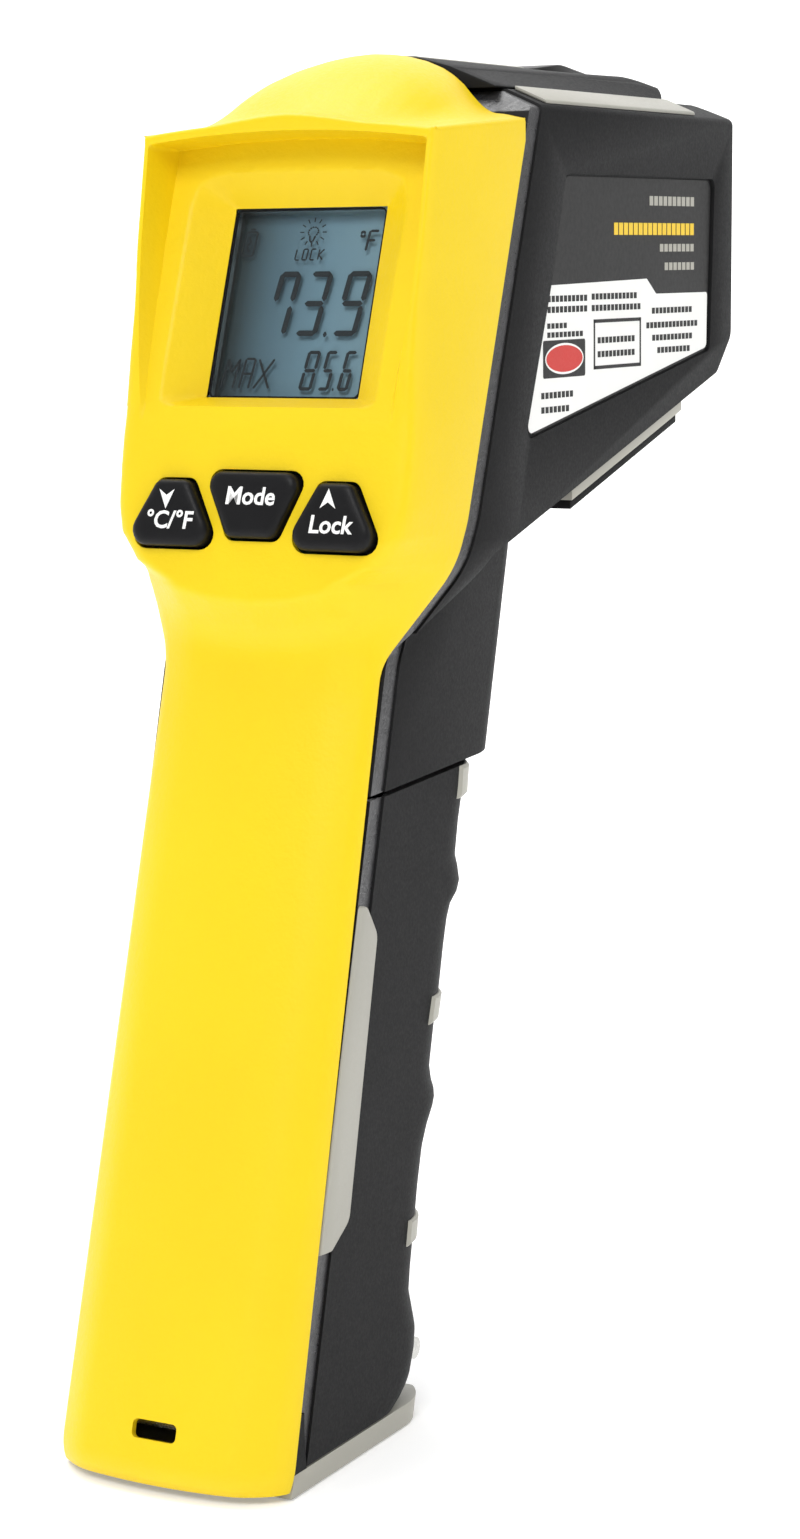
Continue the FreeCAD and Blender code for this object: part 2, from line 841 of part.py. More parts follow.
def make_front_halves(model):
    """The two black halves that carry the optics and the trigger."""
    v = model.sizes
    shell = casing_outer(v).cut(casing_inner(v)).cut(rear_region(v, -v.seam_gap / 2.0))
    shell = shell.cut(casing_outer(v).cut(casing_form(v, v.rebate_deep)).common(rebate_region(v)))
    shell = shell.fuse(screw_bosses(v, 1)).cut(rear_region(v, -v.seam_gap / 2.0))
    shell = shell.cut(screw_holes(v, v.screw_rad + v.pin_clearance))
    seam = side_prism([(-60, -20, 0), (-60, door_seam(v, -60) + v.seam_gap / 2.0, 0),
                       (90, door_seam(v, 90) + v.seam_gap / 2.0, 0), (90, -20, 0)], 40.0)
    shell = shell.cut(seam)
    bore = rod(v.bezel_rad + v.seam_gap / 2.0, 12.0, along_barrel(v.barrel_front - 6.0, v.lens_z))
    laser = rod(v.laser_rad, 12.0, along_barrel(v.barrel_front - 6.0, v.laser_z))
    shell = shell.cut(bore).cut(laser).cut(trigger_slot(v))
    pin = cross_rod(v.pin_rad, v.grip_width / 2.0 - v.wall, v.trigger_pin_y, v.trigger_pin_z)
    ears = trigger_ears(v)
    shell = shell.fuse(ears).cut(pin)
    for side in (-1.0, 1.0):
        panel = Part.Face(rounded_wire(label_outline(0.0), side_space))
        panel.translate(Vector(side * (v.head_width / 2.0 - v.label_deep), 0, 0))
        shell = shell.cut(panel.extrude(Vector(side * 5.0, 0, 0)))
    for name, side in (("housing_left", -1.0), ("housing_right", 1.0)):
        half = Part.makeBox(60, 300, 300, Vector(-30 + side * (30 + v.seam_gap / 4.0), -100, -20))
        model.shape(name, largest(shell.common(half)))


def trigger_ears(v):
    """The two bosses inside the grip that hold the trigger's pin."""
    ears = []
    inside = v.trigger_width / 2.0 + v.trigger_gap
    wide = v.grip_width / 2.0 - v.wall - inside + 0.8
    for side in (-1.0, 1.0):
        x = inside if side > 0 else -inside - wide
        start = Vector(x, v.trigger_pin_y, v.trigger_pin_z)
        ears.append(Part.makeCylinder(v.pin_rad + 1.6, wide, start, Vector(1, 0, 0)))
    return ears[0].fuse(ears[1]).common(casing_outer(v))


def make_trim(model):
    """The top cap, its sight pad, the light bands and the keel under the barrel."""
    v = model.sizes
    cap = cap_solid(v)
    hump = [
        (v.sight_start_y, v.cap_top + v.sight_proud - v.sight_tall, 0),
        (v.sight_start_y, v.cap_top - v.cap_crown, 0),
        (v.sight_start_y + v.sight_length / 2.0, v.cap_top + v.sight_proud, 14.0),
        (v.sight_start_y + v.sight_length, v.cap_top - v.cap_crown, 0),
        (v.sight_start_y + v.sight_length, v.cap_top + v.sight_proud - v.sight_tall, 0),
    ]
    pad = side_prism(hump, v.sight_half)
    roof = v.head_top + 0.1
    lift = block(80, 200, 20, Placement(), y=50, z=roof)
    cap = cap.common(lift)
    model.shape("top_cap", largest(cap.cut(pad)))
    model.shape("sight_pad", pad)
    grow = casing_front(v)
    for name, side in (("top_band_left", -1.0), ("top_band_right", 1.0)):
        edge_x = v.head_width / 2.0 - v.band_edge
        slope = (v.head_top - v.head_edge_top) / (v.head_width / 2.0 - v.cap_half)
        edge_z = v.head_edge_top + slope * v.band_edge
        section = [
            (side * edge_x, edge_z - 0.9, 0.0),
            (side * edge_x, edge_z + v.band_proud, 0.3),
            (side * (v.cap_half + 0.5), v.head_top + v.band_proud, 0.0),
            (side * (v.cap_half + 0.5), v.head_top - 0.9, 0.0),
        ]
        band = front_prism(section, v.band_start_y, v.band_end_y)
        band = band.cut(front_prism(grow, -60, 120))
        model.shape(name, largest(band))
    model.shape("keel_band", keel(v, 0.0, v.keel_band_tall, v.keel_half))
    model.shape("keel_cap", keel(v, v.keel_band_tall, v.keel_cap_tall, v.keel_half - v.keel_step))


def keel(v, drop, tall, half):
    """A strip under the barrel that follows its slope."""
    slack = 0.02
    start = v.keel_start_y
    end = v.keel_end_y - drop * 0.8
    points = [
        (start, underside(v, start) - drop - slack, 0),
        (end, underside(v, end) - drop - slack, 0),
        (end - 1.0, underside(v, end - 1.0) - drop - tall, 0.4),
        (start, underside(v, start) - drop - tall, 0),
    ]
    plan = [
        (half, start - 10.0, 0),
        (half, end, 1.5),
        (-half, end, 1.5),
        (-half, start - 10.0, 0),
    ]
    view = flat_prism(plan, Placement(), 60.0, 140.0)
    return largest(side_prism(points, half + 1.0).common(view))


# ---------------------------------------------------------------- battery door

def ridge(v, mid_z, proud, half_tall):
    """One finger ridge across the front of the door, as a half-round bump."""
    radius = (proud ** 2 + half_tall ** 2) / (2.0 * proud)
    y = grip_front(v, mid_z) + proud - radius
    return cross_rod(radius, 40.0, y, mid_z)


def door_side(v):
    """The door's side outline with its ridges' foot."""
    rear_foot = v.grip_rear_y - v.grip_rear_lean * v.grip_drop
    foot = v.foot_start_z
    return [
        (rear_foot, 0.0, 0.0),
        (v.grip_rear_y, v.grip_drop, 0.0),
        (grip_front(v, v.grip_drop), v.grip_drop, 0.0),
        (grip_front(v, foot), foot, 3.0),
        (grip_front(v, foot - 4.0) + v.foot_proud, foot - 4.0, 3.0),
        (v.hinge_y + v.hinge_sweep + 0.2, v.hinge_z - 1.6, 3.0),
        (v.hinge_y + 0.6, v.base_thick, 2.0),
        (v.hinge_y - 2.6, 0.0, 0.0),
    ]


def door_form(v, inset):
    """The solid form of the door's outside, or of its inside when pulled in by inset."""
    side = side_prism(door_side(v), 40.0, inset)
    form = side.common(grip_column(v, -inset, inset))
    foot = side.common(grip_column(v, v.foot_proud - inset, inset))
    form = form.fuse(foot.common(block(80, 240, v.foot_start_z + 6.0, Placement())))
    if not inset:
        for mid_z in (v.ridge_one_z, v.ridge_two_z):
            band = ridge(v, mid_z, v.ridge_proud, v.ridge_half)
            form = form.fuse(band.common(grip_column(v, v.ridge_proud, 0.0)))
    return form


def heel_reach(v):
    """How far the parting lies from the hinge, straight across and square to the parting."""
    level = v.hinge_y - parting_y(v, v.hinge_z) - v.seam_gap / 2.0
    return level, level / math.sqrt(1.0 + v.grip_lean ** 2)


def heel_region(v, gap):
    """The low rear corner that the door's swing can't pass, beyond its sweep less the gap."""
    level, square = heel_reach(v)
    nearest_z = v.hinge_z + level * v.grip_lean / (1.0 + v.grip_lean ** 2)
    corner = block(80, 60, nearest_z, Placement(), y=v.hinge_y - square)
    return corner.cut(cross_rod(square - gap, 45.0, v.hinge_y, v.hinge_z))


def make_heels(model):
    """The two fixed black corners behind the door's swing, standing on the base."""
    v = model.sizes
    _, square = heel_reach(v)
    skin = door_form(v, 0.0).cut(door_form(v, v.wall)).cut(rear_region(v, -v.seam_gap / 2.0))
    wide_enough = v.hinge_z + square * math.sin(math.atan(v.grip_lean)) \
        - math.sqrt(2.0 * square * v.heel_width)
    tall = block(80, 200, wide_enough - v.base_thick, Placement(), z=v.base_thick)
    heels = skin.common(heel_region(v, 0.0)).common(tall)
    model.shape("grip_heels", Part.makeCompound(heels.Solids))


def side_pad_outline(grow):
    """A release pad's side outline, (y, z), along the rear edge of the door."""
    return [
        (-9.4 - 3 * grow, 24.4 - grow, 0.0),
        (-6.3, 24.2 - grow, 1.0),
        (-2.4 + grow, 26.6, 2.0),
        (4.6 + grow, 56.4, 2.0),
        (2.4, 59.8 + grow, 1.0),
        (0.3 - 3 * grow, 60.2 + grow, 0.0),
    ]


def make_door(model):
    """The battery door with its ribs, hinge knuckles and latch."""
    v = model.sizes
    outer = door_form(v, 0.0)
    region = door_region(v).cut(rear_region(v, -v.seam_gap / 2.0))
    shell = outer.cut(door_form(v, v.wall)).common(region)
    shell = shell.cut(outer.cut(door_form(v, v.rebate_deep)).common(rebate_region(v)))
    ribs = []
    rib_skin = outer.cut(door_form(v, v.rib_deep)).common(region)
    for mid_z in (v.rib_one_z, v.rib_two_z, v.rib_three_z):
        y = grip_front(v, mid_z)
        band = Part.makeBox(2 * 12.6, 8.0, v.rib_tall, Vector(-12.6, y - 5.6, mid_z - v.rib_tall / 2.0))
        band = band.common(rib_skin)
        ribs.append(largest(band))
        shell = shell.cut(band)
    inner_half = v.base_width / 2.0 - v.wall
    under = Part.makeBox(2 * inner_half - 0.6, 60.0, v.hinge_z - v.hinge_hub,
                         Vector(0.3 - inner_half, v.hinge_y - 58.0, 0))
    hub_room = v.hub_half + v.seam_gap
    notch = Part.makeBox(2 * hub_room, 3 * v.hinge_sweep, v.hinge_z,
                         Vector(-hub_room, v.hinge_y - v.hinge_sweep, 0))
    notch = notch.fuse(cross_rod(v.hinge_sweep + v.seam_gap, hub_room, v.hinge_y, v.hinge_z))
    shell = shell.cut(under).cut(notch).cut(heel_region(v, v.seam_gap))
    long = inner_half + 0.6 - v.hub_half - v.seam_gap
    for x in (v.hub_half + v.seam_gap, -v.hub_half - v.seam_gap - long):
        lug = Part.makeCylinder(v.hinge_hub, long, Vector(x, v.hinge_y, v.hinge_z), Vector(1, 0, 0))
        shell = shell.fuse(lug)
    shell = shell.cut(cross_rod(v.pin_rad + v.pin_clearance, inner_half + 0.4, v.hinge_y, v.hinge_z))
    for side in (-1.0, 1.0):
        shell = shell.cut(pad_pocket(v, side))
    model.shape("battery_door", largest(shell))
    model.shape("door_ribs", Part.makeCompound(ribs))


def pad_pocket(v, side):
    """The through pocket in the door's side that a release pad slides in."""
    prism = side_prism(side_pad_outline(v.pad_gap), 20.0)
    half = Part.makeBox(20.0, 200.0, 200.0, Vector(0 if side > 0 else -20.0, -100.0, -20.0))
    return prism.common(half)


def make_pads(model):
    """The two light release pads, each with a hidden lip that keeps it in the door."""
    v = model.sizes
    for name, side in (("release_pad_left", -1.0), ("release_pad_right", 1.0)):
        edge = v.grip_width / 2.0 - 0.3
        low = edge - v.pad_thick
        prism = side_prism(side_pad_outline(0.0), 30.0).cut(rear_region(v, -v.seam_gap / 2.0 - 0.1))
        slab = Part.makeBox(v.pad_thick + v.pad_proud, 200.0, 200.0, Vector(low, -100.0, -20.0))
        if side < 0:
            slab = slab.mirror(Vector(0, 0, 0), Vector(1, 0, 0))
        model.shape(name, largest(prism.common(slab)))


# ---------------------------------------------------------------- keys

def make_keys(model):
    """The three rubber keys with their retaining flanges, the key board and its switches."""
    v = model.sizes
    frame = key_frame(v)
    flange_top = -v.wall - 0.25
    for name, outline in key_outlines(v, 0.0).items():
        stem = flat_prism(outline, frame, flange_top - v.key_flange, v.key_proud)
        flange = key_outlines(v, 0.75)[name]
        model.shape(name, stem.fuse(flat_prism(flange, frame, flange_top - v.key_flange, flange_top)))
    switch_top = flange_top - v.key_flange - v.key_travel - 0.1
    places = [(-v.side_key_x, -0.8), (0.0, 0.3), (v.side_key_x, -0.8)]
    switches = [rod(v.dome_switch_rad, v.dome_switch_tall, frame, x, y, switch_top - v.dome_switch_tall)
                for x, y in places]
    model.shape("dome_switches", Part.makeCompound(switches))
    depth = v.wall + 0.25 + v.key_flange + v.key_travel + 0.1 + v.dome_switch_tall + v.board_thick
    model.plate("key_board", key_frame(v, depth), "sizes.key_board_width", "sizes.key_board_tall",
                "sizes.board_thick")


# ---------------------------------------------------------------- display

def make_display(model):
    """The window, the LCD in its frame, its connector strips, the main board and its parts."""
    v = model.sizes
    top = 0.1
    model.plate("display_window", display_frame(v, top + v.window_thick), "sizes.window_width - 0.2",
                "sizes.window_tall - 0.2", "sizes.window_thick")
    lcd_low = v.backing_thick + 0.3 + v.lcd_thick
    model.plate("lcd_glass", display_frame(v, lcd_low), "sizes.lcd_width", "sizes.lcd_tall",
                "sizes.lcd_thick")
    frame_low = lcd_low + v.connector_tall
    model.frame_plate("lcd_frame", display_frame(v, frame_low),
                      ("sizes.lcd_width + sizes.lcd_rim + sizes.lcd_rim",
                       "sizes.lcd_tall + sizes.lcd_rim + sizes.lcd_rim"),
                      ("sizes.lcd_width + 0.2", "sizes.lcd_tall + 0.2"),
                      "sizes.connector_tall + sizes.lcd_thick")
    strips = [block(v.lcd_width - 2.0, 1.6, v.connector_tall, display_frame(v, frame_low),
                    y=side * (v.lcd_tall / 2.0 - 1.4)) for side in (-1.0, 1.0)]
    model.shape("lcd_connector", Part.makeCompound(strips))
    back = block(v.lcd_width - 2.0, v.lcd_tall - 6.0, 1.2, display_frame(v, lcd_low + 1.2))
    model.shape("backlight", back)
    board_low = frame_low + v.board_thick
    board = model.plate("main_board", display_frame(v, board_low), "sizes.board_width",
                        "sizes.board_tall", "sizes.board_thick")
    model.shape("control_chip", block(7.0, 7.0, 1.3, display_frame(v, board_low + 1.3), y=2.0))
    model.shape("buzzer", rod(4.5, 3.2, display_frame(v, board_low + 3.2), x=-9.0, y=-4.5))
    heads = [rod(v.screw_rad + 0.7, 1.0, display_frame(v, board_low + 1.0), x=side * 11.4, y=11.0)
             for side in (-1.0, 1.0)]
    model.shape("board_screws", Part.makeCompound(heads))
    return board


# ---------------------------------------------------------------- optics

def make_optics(model):
    """The nose bezel, the lens and its ring, the sensor tube, the thermopile and the laser."""
    v = model.sizes
    front = v.barrel_front
    bezel_back = front - v.bezel_thick
    model.tube("nose_bezel", along_barrel(bezel_back - 1.0, v.lens_z), "sizes.bezel_rad",
               "sizes.bezel_bore", "sizes.bezel_thick + 0.6")
    tube_start = bezel_back - 1.0 - v.tube_long - 0.1
    model.tube("sensor_tube", along_barrel(tube_start, v.lens_z), "sizes.tube_rad",
               "sizes.tube_rad - sizes.tube_wall", "sizes.tube_long")
    lens_y = bezel_back - 6.0
    lens = Part.makeSphere(14.0, Vector(0, 0, v.lens_thick - 14.0))
    lens = lens.common(Part.makeCylinder(v.lens_rad, v.lens_thick + 1.0))
    lens.Placement = along_barrel(lens_y, v.lens_z)
    model.shape("ir_lens", lens)
    ring = Part.makeCylinder(v.tube_rad - v.tube_wall - 0.05, 3.4).cut(
        Part.makeCylinder(v.lens_rad + 0.05, 2.6)).cut(Part.makeCylinder(v.lens_rad - 0.8, 3.4))
    ring.Placement = along_barrel(lens_y, v.lens_z)
    model.shape("lens_ring", ring)
    model.cylinder("thermopile", along_barrel(tube_start + 0.1, v.lens_z), "sizes.thermopile_rad",
                   "sizes.thermopile_long")
    model.plate("sensor_board", along_barrel(tube_start - v.board_thick - 0.1, v.lens_z),
                "sizes.optic_board + 4", "sizes.optic_board", "sizes.board_thick")
    laser_start = front - 1.0 - v.laser_long
    model.tube("laser_barrel", along_barrel(laser_start, v.laser_z), "sizes.laser_rad - 0.15",
               "sizes.laser_bore", "sizes.laser_long")
    model.cylinder("laser_lens", along_barrel(front - 4.0, v.laser_z), "sizes.laser_bore - 0.05",
                   "sizes.window_thick")


# ---------------------------------------------------------------- trigger

def trigger_outline(v):
    """The trigger's side outline: the pivot end, the finger's hollow and the lower lip."""
    y = v.trigger_pin_y
    z = v.trigger_pin_z
    low = z - v.trigger_tall + 2.0
    front = v.grip_top_front_y - 0.345 * (v.grip_top_front_z - low)
    return [
        (y - 3.0, z + 2.6, 2.2),
        (y + 5.4, z + 3.6, 1.2),
        (y + 7.4, z - 1.6, 4.0),
        (y + 3.6, z - 8.0, 8.0),
        (front + v.trigger_proud, low, 1.6),
        (front - 2.2, low, 0.8),
        (y - 3.0, z - 7.0, 2.0),
    ]


def make_trigger(model):
    """The trigger, its pin, its return spring and the switch it presses."""
    v = model.sizes
    solid = side_prism(trigger_outline(v), v.trigger_width / 2.0)
    bore = cross_rod(v.pin_rad + v.pin_clearance, 20.0, v.trigger_pin_y, v.trigger_pin_z)
    solid = solid.cut(bore)
    rims = [edge for edge in solid.Edges if edge.CenterOfMass.y > v.trigger_pin_y + 2.0
            and abs(abs(edge.CenterOfMass.x) - v.trigger_width / 2.0) < 0.01]
    solid = solid.makeFillet(1.0, rims)
    seat_y = v.trigger_pin_y - 2.4
    seat_z = v.trigger_pin_z - 9.5
    model.shape("trigger", solid)
    pin = cross_rod(v.pin_rad, v.grip_width / 2.0 - v.wall - 0.2, v.trigger_pin_y, v.trigger_pin_z)
    model.shape("trigger_pin", pin)
    back_y = seat_y - v.spring_long
    switch_face = back_y - 0.1
    switch = Part.makeBox(8.0, 5.0, 8.0, Vector(-4.0, switch_face - 5.0, seat_z - 4.0))
    model.shape("trigger_switch", switch)
    pitch = (v.spring_long - 1.2) / v.spring_turns
    helix = Part.makeHelix(pitch, pitch * v.spring_turns, v.spring_rad)
    section = Part.Wire(Part.makeCircle(v.spring_wire / 2.0, Vector(v.spring_rad, 0, 0),
                                        Vector(0, 1, 0)))
    coil = Part.Wire(helix.Edges).makePipeShell([section], True, True)
    coil.Placement = along_barrel(back_y + 0.3, seat_z)
    model.shape("trigger_spring", coil)


# ---------------------------------------------------------------- battery

def make_battery(model):
    """The block battery, its snap plate and the tray that holds it in the grip."""
    v = model.sizes
    frame = battery_frame(v)
    cell = block(v.battery_width, v.battery_deep, v.battery_tall, frame)
    cell = cell.makeFillet(1.4, [edge for edge in cell.Edges
                                 if abs(edge.Length - v.battery_tall) < 1e-6])
    for side in (-1.0, 1.0):
        stud = rod(v.terminal_rad, v.terminal_tall, frame, y=side * v.terminal_pitch / 2.0,
                   z=v.battery_tall)
        cell = cell.fuse(stud)
    model.shape("battery", cell)
    room = v.tray_gap
    tray_tall = v.battery_tall + v.terminal_tall + 3.4
    width = v.battery_width + 2 * (room + v.tray_wall)
    tray = block(width, v.battery_deep + room + v.tray_wall - v.tray_short, tray_tall,
                 frame, y=-(room + v.tray_wall + v.tray_short) / 2.0, z=-v.tray_wall - room)
    hollow = block(v.battery_width + 2 * room, v.battery_deep + room + 20.0,
                   v.battery_tall + v.terminal_tall + 1.4 + room, frame, y=10.0 - room / 2.0, z=-room)
    tray = tray.cut(hollow).common(casing_inner(v))
    model.shape("battery_tray", largest(tray))
    snap = block(11.0, v.battery_deep - 2.0, 1.2, frame, z=v.battery_tall + v.terminal_tall + 0.1)
    model.shape("battery_snap", snap)


# ---------------------------------------------------------------- base and hardware

def make_base(model):
    """The light base under the grip, the strap's bar, the door's hinge pin and the screws."""
    v = model.sizes
    frame = Placement()
    outer = door_form(v, 0.0)
    low = block(60, 200, v.base_thick, frame)
    base = outer.common(low).cut(rear_region(v, -v.seam_gap / 2.0))
    inner_half = v.base_width / 2.0 - v.wall
    sweep = cross_rod(v.hinge_sweep + v.seam_gap / 2.0, 20.0, v.hinge_y, v.hinge_z)
    web_corner = Vector(-v.hub_half, v.hinge_y - 3.7, 1.0)
    web = Part.makeBox(2 * v.hub_half, 3.2, v.hinge_z - 1.0, web_corner)
    hub = cross_rod(v.hinge_sweep, v.hub_half, v.hinge_y, v.hinge_z).fuse(web)
    battery_room = block(v.battery_width + 2 * v.tray_gap, v.battery_deep + 2 * v.tray_gap,
                         v.battery_tall, battery_frame(v), z=-v.tray_gap)
    base = base.cut(sweep).fuse(hub).cut(battery_room)
    base = base.cut(cross_rod(v.pin_rad, 20.0, v.hinge_y, v.hinge_z))
    tongue_corner = Vector(-inner_half + 1.2, -19.0, v.base_rise + 0.3)
    tongue = Part.makeBox(2 * (inner_half - 1.2), 6.0, 1.2, tongue_corner)
    base = base.fuse(tongue.common(casing_inner(v)))
    model.shape("base_cap", largest(base))
    model.shape("hinge_pin", cross_rod(v.pin_rad, inner_half, v.hinge_y, v.hinge_z))
    bar_y = v.grip_rear_y + v.grip_rear_lean * (v.slot_mid_z - v.grip_drop) + v.wall + 1.6
    model.shape("strap_bar", cross_rod(v.strap_bar_rad, v.slot_width / 2.0 + 2.4, bar_y, v.slot_mid_z))


def make_screws(model):
    """The casing screws, driven from the black side into the rear cover's bosses."""
    v = model.sizes
    screws = []
    for x, z in boss_places(v):
        y = parting_y(v, z)
        long = v.screw_bite + v.screw_grip
        start = Vector(x, y - v.screw_bite, z)
        shank = Part.makeCylinder(v.screw_rad, long, start, Vector(0, 1, 0))
        head = Part.makeCylinder(v.screw_head_rad, 1.6, start + Vector(0, long, 0), Vector(0, 1, 0))
        screws.append(shank.fuse(head))
    model.shape("casing_screws", Part.makeCompound(screws))


def label_outline(grow):
    """The label panel's side outline on the barrel, (y, z)."""
    return [
        (40.6 - grow, 137.0 + grow, 1.0),
        (82.9 + grow, 137.0 + grow, 1.0),
        (81.7 + grow, 116.2 - grow, 1.0),
        (30.1 - 1.4 * grow, 107.6 - 1.2 * grow, 1.0),
        (36.9 - grow, 125.1, 2.0),
    ]


def make_labels(model):
    """The thin plates in the barrel's two side panels."""
    v = model.sizes
    edge = v.head_width / 2.0
    for name, side in (("label_left", -1.0), ("label_right", 1.0)):
        face = Part.Face(rounded_wire(label_outline(-0.3), side_space))
        face.translate(Vector(side * (edge - v.label_deep), 0, 0))
        model.shape(name, face.extrude(Vector(side * v.label_thick, 0, 0)))


def main():
    """Builds the thermometer and writes its sub-parts."""
    model = Model()
    make_rear_cover(model)
    make_front_halves(model)
    make_trim(model)
    make_door(model)
    make_heels(model)
    make_pads(model)
    make_keys(model)
    make_display(model)
    make_optics(model)
    make_trigger(model)
    make_battery(model)
    make_base(model)
    make_screws(model)
    make_labels(model)
    model.finish()


main()
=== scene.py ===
import json
import logging
import math
from dataclasses import dataclass, field
from enum import Enum
from typing import Any, Optional, Sequence

import bmesh
import bpy
import numpy as np
from mathutils import Matrix, Vector


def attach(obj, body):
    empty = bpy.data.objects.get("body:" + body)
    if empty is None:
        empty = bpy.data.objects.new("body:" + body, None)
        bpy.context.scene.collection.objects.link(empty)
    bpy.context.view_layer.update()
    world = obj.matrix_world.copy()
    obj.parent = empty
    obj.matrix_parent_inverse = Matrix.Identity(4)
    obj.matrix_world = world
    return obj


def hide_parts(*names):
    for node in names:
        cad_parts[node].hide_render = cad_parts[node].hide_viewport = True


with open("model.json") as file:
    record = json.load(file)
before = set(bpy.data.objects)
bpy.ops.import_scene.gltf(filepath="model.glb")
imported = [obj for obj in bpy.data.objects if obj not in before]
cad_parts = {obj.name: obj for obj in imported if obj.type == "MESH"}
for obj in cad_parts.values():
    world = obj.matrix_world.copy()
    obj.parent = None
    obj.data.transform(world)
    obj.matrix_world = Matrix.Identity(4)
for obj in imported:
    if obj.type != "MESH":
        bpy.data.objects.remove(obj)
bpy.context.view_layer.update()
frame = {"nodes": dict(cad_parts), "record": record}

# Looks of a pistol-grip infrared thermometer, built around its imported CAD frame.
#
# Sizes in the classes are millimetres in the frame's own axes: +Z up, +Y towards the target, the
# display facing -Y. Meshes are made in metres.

MM = 0.001
LOG = logging.getLogger("thermometer")


# ---------------------------------------------------------------- colour and nodes

def linear(code: str) -> tuple[float, float, float, float]:
    """Turns an sRGB hex colour to linear.

    Args:
        code: six hex digits.

    Returns:
        The linear colour, opaque.
    """
    values = [int(code[index:index + 2], 16) / 255.0 for index in (0, 2, 4)]
    red, green, blue = (v / 12.92 if v <= 0.04045 else ((v + 0.055) / 1.055) ** 2.4 for v in values)
    return red, green, blue, 1.0


def add_node(tree: bpy.types.NodeTree, kind: str, inputs: Optional[dict[Any, Any]] = None,
             **settings: Any) -> bpy.types.Node:
    """Adds a node with its settings, values and links.

    Args:
        tree: the node tree.
        kind: the node's type name.
        inputs: socket name or index to a value, or to an output socket to link from.
        settings: attributes set on the node first.

    Returns:
        The new node.
    """
    node = tree.nodes.new(kind)
    for name, value in settings.items():
        setattr(node, name, value)
    for key, value in (inputs or {}).items():
        if isinstance(value, bpy.types.NodeSocket):
            tree.links.new(value, node.inputs[key])
        else:
            node.inputs[key].default_value = value
    return node


# ---------------------------------------------------------------- finishes

@dataclass(frozen=True)
class Finish:
    """A surface finish, with the sizes of its grain in millimetres."""

    name: str
    colour: str
    roughness: float
    metallic: float = 0.0
    ior: float = 1.5
    grain_mm: float = 0.0
    grain_depth_mm: float = 0.0
    tone_mm: float = 0.0
    tone: float = 0.0
    rough_swing: float = 0.0
    coat: float = 0.0
    specular: float = 0.5

    def material(self) -> bpy.types.Material:
        """Makes the finish's material, once.

        Returns:
            The Blender material.
        """
        found = bpy.data.materials.get(self.name)
        if found is not None:
            return found
        material = bpy.data.materials.new(self.name)
        material.use_nodes = True
        tree = material.node_tree
        tree.nodes.clear()
        shader = add_node(tree, "ShaderNodeBsdfPrincipled", {
            "Base Color": linear(self.colour), "Roughness": self.roughness,
            "Metallic": self.metallic, "IOR": self.ior, "Coat Weight": self.coat,
            "Specular IOR Level": self.specular})
        place = add_node(tree, "ShaderNodeTexCoord").outputs["Object"]
        if self.tone_mm:
            self.add_tone(tree, shader, place)
        if self.grain_mm:
            self.add_grain(tree, shader, place)
        add_node(tree, "ShaderNodeOutputMaterial", {"Surface": shader.outputs[0]})
        return material

    def add_tone(self, tree: bpy.types.NodeTree, shader: bpy.types.Node,
                 place: bpy.types.NodeSocket) -> None:
        """Adds a slow drift of colour, as pigment has in a moulding.

        Args:
            tree: the material's tree.
            shader: its shader.
            place: the coordinates.
        """
        drift = add_node(tree, "ShaderNodeTexNoise", {
            "Vector": place, "Scale": 1.0 / (self.tone_mm * MM), "Detail": 3.0})
        red, green, blue, _ = linear(self.colour)
        ramp = add_node(tree, "ShaderNodeValToRGB", {"Fac": drift.outputs["Fac"]})
        low, high = 1.0 - self.tone, 1.0 + self.tone
        ramp.color_ramp.elements[0].position = 0.3
        ramp.color_ramp.elements[0].color = (red * low, green * low, blue * low, 1.0)
        ramp.color_ramp.elements[1].position = 0.7
        ramp.color_ramp.elements[1].color = (min(red * high, 1.0), min(green * high, 1.0),
                                             min(blue * high, 1.0), 1.0)
        tree.links.new(ramp.outputs["Color"], shader.inputs["Base Color"])

    def add_grain(self, tree: bpy.types.NodeTree, shader: bpy.types.Node,
                  place: bpy.types.NodeSocket) -> None:
        """Adds the mould's spark grain as bump and a swing of roughness.

        Args:
            tree: the material's tree.
            shader: its shader.
            place: the coordinates.
        """
        grain = add_node(tree, "ShaderNodeTexNoise", {
            "Vector": place, "Scale": 1.0 / (self.grain_mm * MM), "Detail": 4.0,
            "Roughness": 0.6})
        bump = add_node(tree, "ShaderNodeBump", {
            "Height": grain.outputs["Fac"], "Strength": 1.0,
            "Distance": self.grain_depth_mm * MM})
        tree.links.new(bump.outputs["Normal"], shader.inputs["Normal"])
        swing = add_node(tree, "ShaderNodeMapRange", {
            "Value": grain.outputs["Fac"], "From Min": 0.3, "From Max": 0.7,
            "To Min": self.roughness - self.rough_swing,
            "To Max": self.roughness + self.rough_swing})
        tree.links.new(swing.outputs["Result"], shader.inputs["Roughness"])


